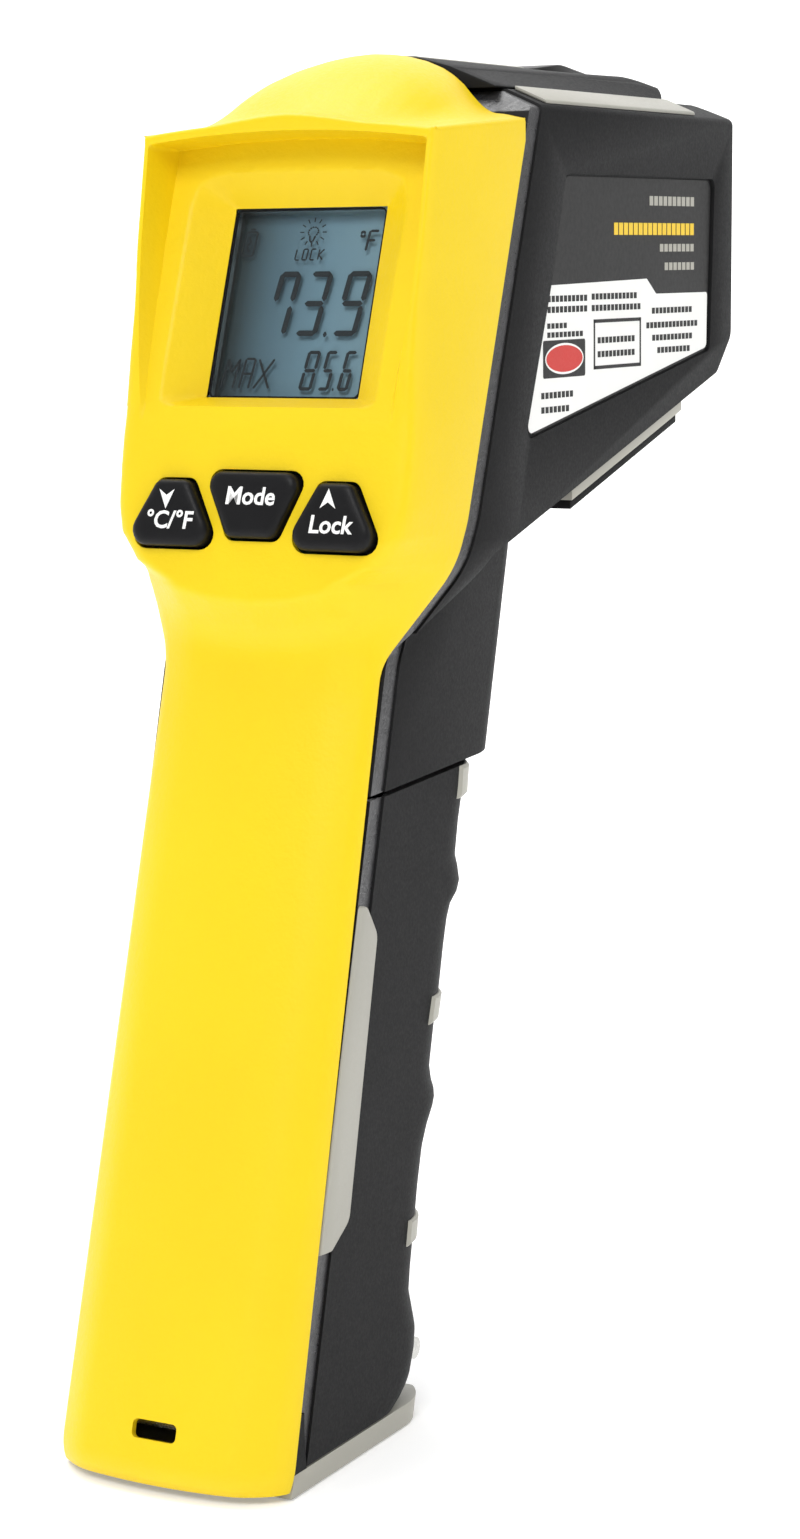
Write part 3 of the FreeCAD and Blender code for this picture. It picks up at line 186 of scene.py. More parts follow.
class Finishes:
    """The finishes that the thermometer's pieces take."""

    # moulded against a spark-eroded tool: a fine pebble that breaks the sheen on the flats
    yellow_abs = Finish("yellow_abs_spark_moulded", "E9C90A", 0.46, grain_mm=0.55, specular=0.35,
                        grain_depth_mm=0.05, tone_mm=28.0, tone=0.03, rough_swing=0.06)
    # matt moulding: a dull, even grey-black that hardly mirrors anything
    black_abs = Finish("black_abs_soft_touch", "131314", 0.6, grain_mm=0.35, specular=0.16,
                       grain_depth_mm=0.02, tone_mm=14.0, tone=0.10, rough_swing=0.06)
    # the same plastic off a polished tool: a tighter highlight on small parts
    black_gloss = Finish("black_abs_polished_edge", "0F0F10", 0.34, grain_mm=0.5, specular=0.22,
                         grain_depth_mm=0.006, tone_mm=9.0, tone=0.08, rough_swing=0.04)
    # coarse texture in the stepped strip: it glitters in specks, drawn coarser than real to show; the
    # bumps and strong specular are real, but its lighter grey and strong speckled tone are painted light
    # for the strip's differently angled facet and its glinting specks
    rebate_grain_and_painted_light = Finish("black_abs_coarse_rebate_painted_light", "2C2C2E", 0.34, grain_mm=0.5, specular=0.7,
                        grain_depth_mm=0.12, tone_mm=0.9, tone=0.35, rough_swing=0.1)
    # satin light grey moulding: a soft warm highlight along the bands and inlays
    grey_abs = Finish("light_grey_abs_satin", "A5A399", 0.44, grain_mm=0.4, specular=0.4,
                      grain_depth_mm=0.012, tone_mm=16.0, tone=0.03, rough_swing=0.05)
    # moulded silicone: deep black with a broad soft highlight on the domes
    key_rubber = Finish("silicone_rubber_key", "101012", 0.44, grain_mm=0.3, specular=0.2,
                        grain_depth_mm=0.01, tone_mm=4.0, tone=0.12, rough_swing=0.08)
    # printed white ink: flat and even, with no sheen of its own
    legend_ink = Finish("white_silkscreen_ink", "F2F2F0", 0.5, grain_mm=0.25,
                        grain_depth_mm=0.004, tone_mm=3.0, tone=0.02, rough_swing=0.05)
    # printed yellow ink on the dark label film
    legend_yellow = Finish("yellow_silkscreen_ink", "E9C21C", 0.5, grain_mm=0.25,
                           grain_depth_mm=0.004, tone_mm=3.0, tone=0.02, rough_swing=0.05)
    # printed red ink of the sign-like oval
    legend_red = Finish("red_silkscreen_ink", "C4261C", 0.5, grain_mm=0.25,
                        grain_depth_mm=0.004, tone_mm=3.0, tone=0.02, rough_swing=0.05)
    # a driven segment of the display: a flat dark blue-grey
    lcd_ink = Finish("lcd_dark_segment", "20262A", 0.4, tone_mm=2.0, tone=0.1)
    # nickel plate: a bright, slightly hazy mirror
    steel = Finish("nickel_plated_steel", "C9C8C4", 0.28, metallic=1.0, grain_mm=0.6,
                   grain_depth_mm=0.004, tone_mm=5.0, tone=0.05, rough_swing=0.06)
    # turned and blackened bore: dark metal with a faint glint
    aluminium = Finish("turned_aluminium_black_bore", "4C4D50", 0.4, metallic=1.0, grain_mm=0.3,
                       grain_depth_mm=0.006, tone_mm=4.0, tone=0.06, rough_swing=0.05)
    # turned brass: warm metal highlights at the nozzle
    brass = Finish("turned_brass", "B8924A", 0.3, metallic=1.0, grain_mm=0.3,
                   grain_depth_mm=0.005, tone_mm=4.0, tone=0.06, rough_swing=0.05)
    # solder mask: glossy green varnish with cloudy tone
    board = Finish("green_solder_mask", "1E5A34", 0.35, grain_mm=0.8, grain_depth_mm=0.01,
                   tone_mm=3.0, tone=0.12, rough_swing=0.06)
    # moulded chip resin: dull black
    resin = Finish("moulded_chip_resin", "1C1C1E", 0.6, grain_mm=0.25, grain_depth_mm=0.01,
                   tone_mm=3.0, tone=0.1, rough_swing=0.06)
    # uncoloured inner mouldings: plain dark grey, half matt
    inner_abs = Finish("grey_inner_abs", "3A3A3C", 0.55, grain_mm=0.5, grain_depth_mm=0.012,
                       tone_mm=10.0, tone=0.06, rough_swing=0.05)
    # coated infrared lens: a dark, reddish mirror under a clear coat
    lens = Finish("coated_germanium_lens", "3B2A2E", 0.12, metallic=0.3, ior=2.2, tone_mm=6.0,
                  tone=0.2, coat=0.6)
    # printed film round the battery: smooth dark sheen
    jacket = Finish("printed_battery_jacket", "34363A", 0.34, grain_mm=1.0, grain_depth_mm=0.006,
                    tone_mm=12.0, tone=0.06, rough_swing=0.05)
    # white label film: smooth, slightly warm white with a soft gloss
    film = Finish("printed_label_film_white", "EDEDEA", 0.42, grain_mm=0.6, grain_depth_mm=0.004,
                  tone_mm=10.0, tone=0.015, rough_swing=0.05)
    # dark label film: a shade lighter and smoother than the moulding round it
    panel = Finish("printed_label_film_dark", "1E1E1E", 0.42, grain_mm=0.6, specular=0.2,
                   grain_depth_mm=0.006, tone_mm=10.0, tone=0.05, rough_swing=0.05)


# ---------------------------------------------------------------- mesh helpers

def new_piece(name: str, points: Sequence[Sequence[float]], faces: Sequence[Sequence[int]],
              finish: Optional[Finish] = None, smooth_deg: float = 35.0) -> bpy.types.Object:
    """Makes a mesh object from points in millimetres.

    Args:
        name: the piece's name.
        points: the points, in millimetres.
        faces: the faces, as point numbers.
        finish: its finish.
        smooth_deg: edges sharper than this stay sharp.

    Returns:
        The new object, linked to the scene.
    """
    mesh = bpy.data.meshes.new(name)
    scaled = [tuple(float(c) * MM for c in point) for point in points]
    mesh.from_pydata(scaled, [], [tuple(int(i) for i in face) for face in faces])
    mesh.validate()
    piece = bpy.data.objects.new(name, mesh)
    bpy.context.scene.collection.objects.link(piece)
    if finish is not None:
        mesh.materials.append(finish.material())
    smooth_by_angle(mesh, smooth_deg)
    return piece


def smooth_by_angle(mesh: bpy.types.Mesh, degrees: float) -> None:
    """Shades a mesh smooth except across sharp edges.

    Args:
        mesh: the mesh.
        degrees: the angle between faces above which an edge is sharp.
    """
    mesh.shade_smooth()
    mesh.set_sharp_from_angle(angle=math.radians(degrees))


def clean(piece: bpy.types.Object, distance_mm: float = 0.0005, outward: bool = True) -> None:
    """Merges doubled points and turns every face outwards.

    Args:
        piece: the mesh object.
        distance_mm: how near two points are merged.
        outward: whether the normals are recalculated.
    """
    mesh = bmesh.new()
    mesh.from_mesh(piece.data)
    bmesh.ops.remove_doubles(mesh, verts=mesh.verts, dist=distance_mm * MM)
    if outward:
        bmesh.ops.recalc_face_normals(mesh, faces=mesh.faces)
    mesh.to_mesh(piece.data)
    mesh.free()


def settle(piece: bpy.types.Object, smooth_deg: float = 35.0) -> bpy.types.Object:
    """Applies a piece's modifiers, leaving a plain mesh.

    Args:
        piece: the object.
        smooth_deg: edges sharper than this stay sharp.

    Returns:
        The same object.
    """
    bpy.context.view_layer.update()
    graph = bpy.context.evaluated_depsgraph_get()
    mesh = bpy.data.meshes.new_from_object(piece.evaluated_get(graph))
    piece.modifiers.clear()
    piece.data = mesh
    smooth_by_angle(mesh, smooth_deg)
    return piece


def grid_faces(rows: int, columns: int, first: int = 0) -> list[tuple[int, int, int, int]]:
    """The quads of a grid of points.

    Args:
        rows: how many rows of points.
        columns: how many points in a row.
        first: the number of the first point.

    Returns:
        The faces.
    """
    faces = []
    for row in range(rows - 1):
        for column in range(columns - 1):
            a = first + row * columns + column
            faces.append((a, a + 1, a + columns + 1, a + columns))
    return faces


def smooth_min(a: np.ndarray, b: np.ndarray, reach: float) -> np.ndarray:
    """The lower of two surfaces with a fillet of that reach where they cross."""
    share = np.clip(0.5 + 0.5 * (b - a) / reach, 0.0, 1.0)
    return b + (a - b) * share - reach * share * (1.0 - share)


def smooth_max(a: np.ndarray, b: np.ndarray, reach: float) -> np.ndarray:
    """The higher of two surfaces with a fillet of that reach where they cross."""
    return -smooth_min(-a, -b, reach)


def ease(low: float, high: float, value: np.ndarray) -> np.ndarray:
    """A smooth step from 0 at low to 1 at high."""
    share = np.clip((value - low) / (high - low), 0.0, 1.0)
    return share * share * (3.0 - 2.0 * share)


def cutter(name: str, outline: Sequence[tuple[float, float]], frame_matrix: Matrix,
           low: float, high: float) -> bpy.types.Object:
    """A prism that cuts an opening.

    Args:
        name: its name.
        outline: the outline in the frame's plane, in millimetres.
        frame_matrix: the frame, in millimetres.
        low: where the prism starts along the frame's Z.
        high: where it ends.

    Returns:
        The cutter.
    """
    count = len(outline)
    points = [frame_matrix @ Vector((a, b, depth)) for depth in (low, high) for a, b in outline]
    faces: list[Sequence[int]] = [tuple(reversed(range(count))), tuple(range(count, 2 * count))]
    for index in range(count):
        after = (index + 1) % count
        faces.append((index, after, count + after, count + index))
    piece = new_piece(name, points, faces)
    clean(piece)
    return piece


def cut_with(piece: bpy.types.Object, tools: Sequence[bpy.types.Object]) -> None:
    """Cuts each tool out of a piece and deletes the tools.

    Args:
        piece: the mesh object to cut.
        tools: the cutters.
    """
    for tool in tools:
        for material in piece.data.materials:
            tool.data.materials.append(material)
        modifier = piece.modifiers.new("cut", "BOOLEAN")
        modifier.operation = "DIFFERENCE"
        modifier.solver = "MANIFOLD"
        modifier.object = tool
    settle(piece)
    for tool in tools:
        bpy.data.objects.remove(tool)


def leaning(y: float, z: float, lean: float) -> Matrix:
    """A frame on a surface that leans forward: Y up the surface, Z out of it, backwards.

    Args:
        y: the frame's place along the barrel.
        z: the frame's height.
        lean: the surface's Y for each millimetre of Z.

    Returns:
        The frame, in millimetres.
    """
    tilt = math.pi / 2.0 - math.atan(lean)
    return Matrix.Translation((0.0, y, z)) @ Matrix.Rotation(tilt, 4, "X")


def rounded(corners: Sequence[tuple[float, float, float]], steps: int = 6) -> list[tuple[float, float]]:
    """An outline with each corner rounded by its own radius.

    Args:
        corners: (a, b, radius) corners in order.
        steps: points in each round.

    Returns:
        The outline's points.
    """
    outline = []
    count = len(corners)
    for index, (a, b, radius) in enumerate(corners):
        here = Vector((a, b))
        before = (Vector(corners[index - 1][:2]) - here).normalized()
        after = (Vector(corners[(index + 1) % count][:2]) - here).normalized()
        if radius <= 0.0:
            outline.append((a, b))
            continue
        half = before.angle(after) / 2.0
        centre = here + (before + after).normalized() * (radius / math.sin(half))
        start = here + before * (radius / math.tan(half)) - centre
        end = here + after * (radius / math.tan(half)) - centre
        turn = start.angle_signed(end)
        for step in range(steps + 1):
            angle = -turn * step / steps
            cosine, sine = math.cos(angle), math.sin(angle)
            outline.append((centre.x + start.x * cosine - start.y * sine,
                            centre.y + start.x * sine + start.y * cosine))
    return outline


def mirrored(corners: Sequence[tuple[float, float, float]]) -> list[tuple[float, float, float]]:
    """The corners with their mirror image across the middle, as one closed outline."""
    return list(corners) + [(-a, b, radius) for a, b, radius in reversed(corners)]


def from_cad(node: str, finish: Finish, body: str, bevel_mm: float = 0.0,
             name: Optional[str] = None, smooth_deg: float = 32.0) -> bpy.types.Object:
    """A dressed copy of a CAD node: merged, smoothly shaded and with its edges eased.

    Args:
        node: the CAD node that it stands for.
        finish: its finish.
        body: the body it rides on.
        bevel_mm: the width of the eased edges, or 0 for none.
        name: the piece's name, or None for one made from the node's.
        smooth_deg: edges sharper than this stay sharp.

    Returns:
        The new piece.
    """
    mesh = frame["nodes"][node].data.copy()
    mesh.name = name or f"{node}_shell"
    piece = bpy.data.objects.new(mesh.name, mesh)
    bpy.context.scene.collection.objects.link(piece)
    clean(piece, 0.002, outward=False)
    flat = bmesh.new()
    flat.from_mesh(mesh)
    bmesh.ops.dissolve_limit(flat, angle_limit=math.radians(0.4), verts=flat.verts, edges=flat.edges)
    flat.to_mesh(mesh)
    flat.free()
    mesh.materials.clear()
    mesh.materials.append(finish.material())
    if bevel_mm:
        bevel = piece.modifiers.new("eased edges", "BEVEL")
        bevel.width = bevel_mm * MM
        bevel.segments = 2
        bevel.limit_method = "ANGLE"
        bevel.angle_limit = math.radians(40.0)
        bevel.harden_normals = False
    settle(piece, smooth_deg)
    dress(piece, body)
    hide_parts(node)
    return piece


def dress(piece: bpy.types.Object, body: str) -> bpy.types.Object:
    """Puts a finished piece on its body and logs it.

    Args:
        piece: the finished piece.
        body: the body that it rides on.

    Returns:
        The same piece.
    """
    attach(piece, body)
    LOG.info("%s rides on %s: %d faces", piece.name, body, len(piece.data.polygons))
    return piece


# ---------------------------------------------------------------- outlines shared by pieces

def side_line(corners: Sequence[tuple[float, float, float]], heights: np.ndarray) -> np.ndarray:
    """Reads a rising side outline as a place for each height.

    Args:
        corners: (place, height, radius) corners, from low to high.
        heights: the heights to read at.

    Returns:
        The places.
    """
    ends = [(corners[-1][0] + 60.0, corners[-1][1], 0.0), (corners[0][0] + 60.0, corners[0][1], 0.0)]
    outline = rounded(list(corners) + ends)[:-2]
    return np.interp(heights, [z for _, z in outline], [place for place, _ in outline])


@dataclass(frozen=True)
class Lines:
    """The casing's leading lines, in millimetres, as the CAD draws them."""

    parting: tuple = ((-15.72, 0.0, 0.0), (7.4, 85.0, 7.0), (16.25, 99.8, 9.0), (34.5, 152.0, 0.0))
    back: tuple = ((-21.84, 0.0, 2.5), (2.18, 79.0, 0.0), (4.7, 87.2, 5.0), (2.0, 91.6, 1.0),
                   (12.8, 147.0, 0.0))
    flank: tuple = ((14.35, 0.0, 0.0), (13.4, 85.0, 7.0), (19.3, 95.0, 9.0), (19.5, 150.0, 0.0))
    gap: float = 0.15
    face_lean: float = 0.195
    face_foot: tuple = (2.0, 91.6)
    key_mid_z: float = 101.5
    side_key_x: float = 10.0
    rebate_wide: float = 2.6
    window_foot: tuple = (10.0, 113.0)
    window_lean: float = 0.35
    window_half: float = 9.45
    window_top_z: float = 133.3
    funnel_half: float = 13.5
    funnel_foot_z: float = 112.2
    funnel_top_z: float = 136.8
    floor_start_z: float = 110.2
    floor_lean: float = 0.36
    ceiling_z: float = 139.6

    def parting_y(self, heights: np.ndarray) -> np.ndarray:
        """The parting line's Y at each height, on the cover's side of the gap."""
        return side_line(self.parting, heights) - self.gap

    def flank_x(self, heights: np.ndarray) -> np.ndarray:
        """The casing's half width at each height."""
        return side_line(self.flank, heights)

    def back_y(self, heights: np.ndarray) -> np.ndarray:
        """The back's Y on the middle plane at each height."""
        return side_line(self.back, heights)

    def face_frame(self) -> Matrix:
        """The keys' frame on the face."""
        y = self.face_foot[0] + self.face_lean * (self.key_mid_z - self.face_foot[1])
        return leaning(y, self.key_mid_z, self.face_lean)

    def window_frame(self) -> Matrix:
        """The window's frame, with its origin at the window's middle."""
        half = (self.window_top_z - self.window_foot[1]) / 2.0
        return leaning(self.window_foot[0] + self.window_lean * half, self.window_foot[1] + half,
                       self.window_lean)


LINES = Lines()


# ---------------------------------------------------------------- rear cover

@dataclass
class RearCover:
    """The yellow rear cover: grip back, neck, key plate, hooded display surround and dome."""

    lines: Lines = LINES
    foot_z: float = 0.75
    lip_z: float = 140.3
    lip_thick: float = 1.0
    lip_arch: float = 1.1
    lip_half: float = 17.2
    plate_half: float = 18.1
    thick: float = 0.8
    dome_foot: tuple = (12.4, 143.0)
    dome_top: tuple = (34.0, 150.4)
    dome_power: float = 2.1
    dome_spread: float = 0.12
    dome_section: tuple = ((0.0, 0.0), (1.6, 0.1), (3.3, 0.36), (5.7, 0.95), (7.9, 1.8),
                           (9.4, 2.65), (10.8, 3.7), (11.9, 4.8), (13.0, 5.8), (14.2, 7.0),
                           (16.0, 9.0), (24.0, 18.0))
    crease: tuple = ((0.0, 10.6), (60.0, 10.6), (84.0, 10.0), (90.0, 9.6), (92.4, 9.8),
                     (93.6, 10.4), (95.6, 14.5), (98.6, 17.2), (101.5, 17.95), (104.0, 18.1),
                     (109.0, 18.15), (116.0, 17.75), (123.0, 17.6), (129.5, 17.85), (150.0, 18.1))
    plate_lift: tuple = ((0.0, 0.0), (5.0, 0.4), (10.2, 1.6), (14.5, 3.6), (17.2, 6.6), (20.0, 12.0))
    lip_inner: tuple = ((90.0, 15.6), (112.2, 15.7), (123.0, 16.75), (129.5, 17.1), (150.0, 17.3))

    def heights(self) -> np.ndarray:
        """The grid's row heights, closer together where the shape turns.

        Returns:
            The heights, from the foot to the hood's lip.
        """
        spans = ((self.foot_z, 4.0, 0.4), (4.0, 82.0, 1.3), (82.0, 100.0, 0.4), (100.0, 112.0, 0.6),
                 (112.0, 113.0, 0.2), (113.0, 133.3, 0.5), (133.3, 136.8, 0.3),
                 (136.8, 139.0, 0.4), (139.0, self.lip_z, 0.13))
        rows: list[float] = []
        for low, high, step in spans:
            count = max(1, round((high - low) / step))
            rows += [low + (high - low) * index / count for index in range(count)]
        return np.array(rows + [self.lip_z])

    def across(self, z: float) -> tuple[np.ndarray, np.ndarray]:
        """The columns of one row over half of the width.

        Args:
            z: the row's height.

        Returns:
            The plate columns' X, and the flank columns' share of the way from crease to parting.
        """
        crease = float(np.interp(z, *zip(*self.crease)))
        scale = min(1.0, crease / self.plate_half) if z < self.lines.floor_start_z else 1.0
        lip = min(float(np.interp(z, *zip(*self.lip_inner))) * scale, crease - 0.25)
        floor_half = self.floor_edge(z, lip)
        knots = [0.0, self.lines.window_half * scale, min(self.lines.funnel_half * scale,
                 floor_half - 0.2), floor_half, lip, crease]
        counts = (20, 12, 8, 5, 4)
        plate = np.concatenate([np.linspace(a, b, n, endpoint=False) for a, b, n in
                                zip(knots[:-1], knots[1:], counts)] + [np.array([crease])])
        return plate, np.linspace(0.0, 1.0, 17)[1:]

    @staticmethod
    def floor_edge(z: float, lip: float) -> float:
        """Where the recess's drafted side wall meets its floor."""
        return lip - float(np.interp(z, (112.0, 126.0), (0.4, 1.1)))

    def plate_y(self, x: np.ndarray, z: float) -> np.ndarray:
        """The back's Y across one row, before the display surround is sunk into it.

        Args:
            x: the columns' X.
            z: the row's height.

        Returns:
            Each column's Y.
        """
        lift = np.interp(np.abs(x), *zip(*self.plate_lift))
        near_head = float(ease(80.0, 90.0, np.array(z)))
        lift = lift * near_head
        y = self.lines.back_y(z - lift) + self.lines.face_lean * lift
        crown_head = 0.45 * (x / 18.0) ** 2 * float(1.0 - ease(110.0, 118.0, np.array(z)))
        crown_grip = 1.15 * (x / 11.0) ** 2
        return y + crown_head * near_head + crown_grip * (1.0 - near_head)

    def sunk(self, x: np.ndarray, y: np.ndarray, z: float) -> np.ndarray:
        """Sinks the hooded recess and the window's bevelled surround into the plate.

        Args:
            x: the columns' X.
            y: their Y on the plate.
            z: the row's height.

        Returns:
            Each column's Y with the recess and the surround sunk in.
        """
        lines = self.lines
        if z < lines.floor_start_z:
            return y
        lip = float(np.interp(z, *zip(*self.lip_inner)))
        deep = max(0.0, (lines.floor_lean - lines.face_lean) * (z - lines.floor_start_z))
        wall = np.clip((lip - np.abs(x)) / (lip - self.floor_edge(z, lip)), 0.0, 1.0)
        if z > lines.ceiling_z:
            deep *= max(0.0, (self.lip_z - z) / (self.lip_z - lines.ceiling_z))
        base = y + deep * wall
        glass = lines.window_foot[0] + lines.window_lean * (z - lines.window_foot[1])
        side_in = (lines.funnel_half - np.abs(x)) / (lines.funnel_half - lines.window_half)
        foot_in = (z - lines.funnel_foot_z) / (lines.window_foot[1] - lines.funnel_foot_z)
        top_in = (lines.funnel_top_z - z) / (lines.funnel_top_z - lines.window_top_z)
        upright = np.full_like(side_in, min(foot_in, top_in))
        lower = np.minimum(side_in, upright)
        reach = np.clip(1.25 * (1.0 - lower), 0.12, 1.25)
        share = np.clip(smooth_min(side_in, upright, reach), 0.0, 1.0)
        return base + share * (glass - base) * (z < lines.ceiling_z)

    def row(self, z: float) -> np.ndarray:
        """One row's points from the left parting round the back to the right parting.

        Args:
            z: the row's height.

        Returns:
            The row's points.
        """
        plate, shares = self.across(z)
        y = self.plate_y(plate, z)
        corner = float(y[-1])
        parting = float(self.lines.parting_y(np.array(z)))
        flank = float(self.lines.flank_x(np.array(z)))
        if z < 3.5:
            flank -= 0.6 * (1.0 - z / 3.5) ** 2
        side_y = corner + (parting - corner) * shares
        bulge = 0.5 + 0.5 * float(ease(96.0, 101.0, np.array(z)))
        side_x = plate[-1] + (flank - plate[-1]) * (1.0 - (1.0 - shares) ** (1.0 + bulge))
        y = self.sunk(plate, y, z)
        half = np.column_stack([np.concatenate([plate, side_x]), np.concatenate([y, side_y])])
        half = self.soften(half, len(plate) - 1, z)
        arch = self.lip_arch * float(ease(134.0, self.lip_z, np.array(z)))
        rise = arch * np.clip(1.0 - (half[:, 0] / self.lip_half) ** 2, 0.0, 1.0)
        points = np.column_stack([half[:, 0], half[:, 1], z + rise])
        mirror = points[:0:-1] * np.array([-1.0, 1.0, 1.0])
        return np.vstack([mirror, points])

    @staticmethod
    def soften(half: np.ndarray, corner: int, z: float) -> np.ndarray:
        """Rounds the crease: much on the grip, little on the key plate and at the hood.

        Args:
            half: half of a row's (x, y) points.
            corner: the crease's place among them.
            z: the row's height.

        Returns:
            The softened points.
        """
        passes = int(np.interp(z, (84.0, 91.0, 112.0, 141.0), (60, 8, 5, 3)))
        low = corner - (16 if z < 91.0 else 3)
        smooth = half.copy()
        for _ in range(passes):
            smooth[low:corner + 8] = (smooth[low - 1:corner + 7] + 2.0 * smooth[low:corner + 8]
                                      + smooth[low + 1:corner + 9]) / 4.0
        return smooth

    def roof_z(self, x: np.ndarray, y: np.ndarray) -> np.ndarray:
        """The top surface: the hood, with the dome rising from it.

        Args:
            x: the points' X.
            y: the points' Y.

        Returns:
            Each point's height.
        """
        lip = self.lip_z + self.lip_thick + self.lip_arch * np.clip(
            1.0 - (x / self.lip_half) ** 2, 0.0, 1.0)
        back = 143.35 - 0.6 * ease(15.5, 19.5, np.abs(x))
        hood = lip + (back - lip) * np.clip((y - 12.0) / 18.0, 0.0, 1.0)
        share = np.clip((y - self.dome_foot[0]) / (self.dome_top[0] - self.dome_foot[0]), 0.0, 1.0)
        rise = self.dome_top[1] - self.dome_foot[1]
        top = self.dome_foot[1] + rise * (1.0 - (1.0 - share) ** self.dome_power)
        spread = 1.0 + self.dome_spread * (1.0 - ease(0.45, 1.0, share))
        drop = np.interp(np.abs(x) / spread, *zip(*self.dome_section))
        return smooth_max(hood, top - drop, 1.6)

    def roof_rows(self, edge: np.ndarray) -> list[np.ndarray]:
        """Carries the grid on from the lip over the hood and the dome to the parting.

        Args:
            edge: the last row of the back.

        Returns:
            The rows of points that follow it.
        """
        count = len(edge)
        plan = edge[:, :2]
        along = np.gradient(plan, axis=0)
        inward = np.column_stack([along[:, 1], -along[:, 0]])
        inward /= np.linalg.norm(inward, axis=1)[:, None]
        inward *= -1.0 if inward[count // 2, 1] < 0.0 else 1.0
        radius = 0.45
        inward[0], inward[-1] = (1.0, 0.0), (-1.0, 0.0)
        top = self.roof_z(plan[:, 0], plan[:, 1])
        rows = []
        for share in (0.5, 1.0):
            rows.append(np.column_stack([plan, edge[:, 2] + (top - radius - edge[:, 2]) * share]))
        for angle in np.radians((22.5, 45.0, 67.5, 90.0)):
            moved = plan + inward * radius * (1.0 - math.cos(angle))
            rows.append(np.column_stack([moved, top - radius + radius * math.sin(angle)]))
        start = plan + inward * radius
        # the columns of the flank fan out over the dome, so its arch stays finely drawn
        arch_x = (plan[0, 0] + radius) * np.cos(np.linspace(0.0, math.pi, count))
        arch_z = self.roof_z(arch_x, np.full(count, 32.0))
        for _ in range(4):
            arch_y = self.lines.parting_y(arch_z)
            arch_z = self.roof_z(arch_x, arch_y)
        end = np.column_stack([arch_x, arch_y])
        for share in np.linspace(0.0, 1.0, 46)[1:]:
            flat = start + (end - start) * share
            rows.append(np.column_stack([flat, self.roof_z(flat[:, 0], flat[:, 1])]))
        return rows

    def openings(self) -> list[bpy.types.Object]:
        """The cutters for the keys' openings and the strap slot.

        Returns:
            The cutters.
        """
        tools = [cutter(f"opening_{name}", outline, self.lines.face_frame(), -6.0, 6.0)
                 for name, outline in key_outlines(0.3).items()]
        slot_half, slot_tall, slot_round = 2.7, 2.0, 0.6
        slot = rounded(mirrored([(slot_half, -slot_tall / 2.0, slot_round),
                                 (slot_half, slot_tall / 2.0, slot_round)]))
        tools.append(cutter("strap_opening", slot, leaning(-19.8, 6.6, 0.304), -8.0, 8.0))
        return tools

    def build(self) -> bpy.types.Object:
        """Builds the cover and puts it on the housing.

        Returns:
            The cover.
        """
        rows = [self.row(float(z)) for z in self.heights()]
        rows += self.roof_rows(rows[-1])
        points = np.vstack(rows)
        faces = np.array(grid_faces(len(rows), len(rows[0])))
        middle = points[faces].mean(axis=1)
        in_window = (np.abs(middle[:, 0]) < self.lines.window_half) \
            & (middle[:, 2] > self.lines.window_foot[1]) \
            & (middle[:, 2] < self.lines.window_top_z) & (middle[:, 1] < 18.0)
        piece = new_piece("rear_cover_shell", points, faces[~in_window], Finishes.yellow_abs)
        clean(piece, 0.002)
        skin = piece.modifiers.new("wall", "SOLIDIFY")
        skin.thickness = self.thick * MM
        skin.offset = self.inward(piece)
        skin.use_even_offset = False
        settle(piece)
        clean(piece, 0.0)
        cut_with(piece, self.openings())
        smooth_by_angle(piece.data, 40.0)
        dress(piece, "housing")
        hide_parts("rear_cover")
        return piece

    @staticmethod
    def inward(piece: bpy.types.Object) -> float:
        """Which way the open sheet is thickened so that the wall grows inwards.

        Args:
            piece: the open sheet.

        Returns:
            The thickening's offset.
        """
        spot = Vector((0.0, -0.01, 0.04))
        low = min(piece.data.polygons, key=lambda face: (face.center - spot).length)
        return 1.0 if low.normal.y > 0.0 else -1.0


def key_outlines(grow: float) -> dict[str, list[tuple[float, float]]]:
    """The keys' outlines in the face frame.

    Args:
        grow: how far they are grown all round.

    Returns:
        Each key's outline by its body's name.
    """
    side = [(5.9 + grow, -4.3 - grow, 1.7), (2.0 + grow, 2.9 + grow, 1.3)]
    mode = [(2.9 + grow, -3.2 - grow, 1.3), (6.3 + grow, 3.9 + grow, 1.5)]
    places = (("key_left", -LINES.side_key_x, side), ("key_mode", 0.0, mode),
              ("key_right", LINES.side_key_x, side))
    return {name: [(x + a, b) for a, b in rounded(mirrored(half))] for name, x, half in places}


# ---------------------------------------------------------------- strokes and lettering

def stroke_points(path: Sequence[tuple[float, float]], width: float) -> tuple[list, list]:
    """Draws a path as flat bars with pointed ends, as a display's segments have.

    Args:
        path: the path's points.
        width: the bars' width.

    Returns:
        The points and the faces.
    """
    points: list[tuple[float, float]] = []
    faces: list[tuple[int, ...]] = []
    for (ax, ay), (bx, by) in zip(path[:-1], path[1:]):
        length = math.hypot(bx - ax, by - ay)
        ux, uy = (bx - ax) / length, (by - ay) / length
        half = width / 2.0
        tip = min(half, length / 3.0)
        first = len(points)
        for along, side in ((0.0, 0.0), (tip, -half), (length - tip, -half), (length, 0.0),
                            (length - tip, half), (tip, half)):
            points.append((ax + ux * along - uy * side, ay + uy * along + ux * side))
        faces.append(tuple(range(first, first + 6)))
    return points, faces


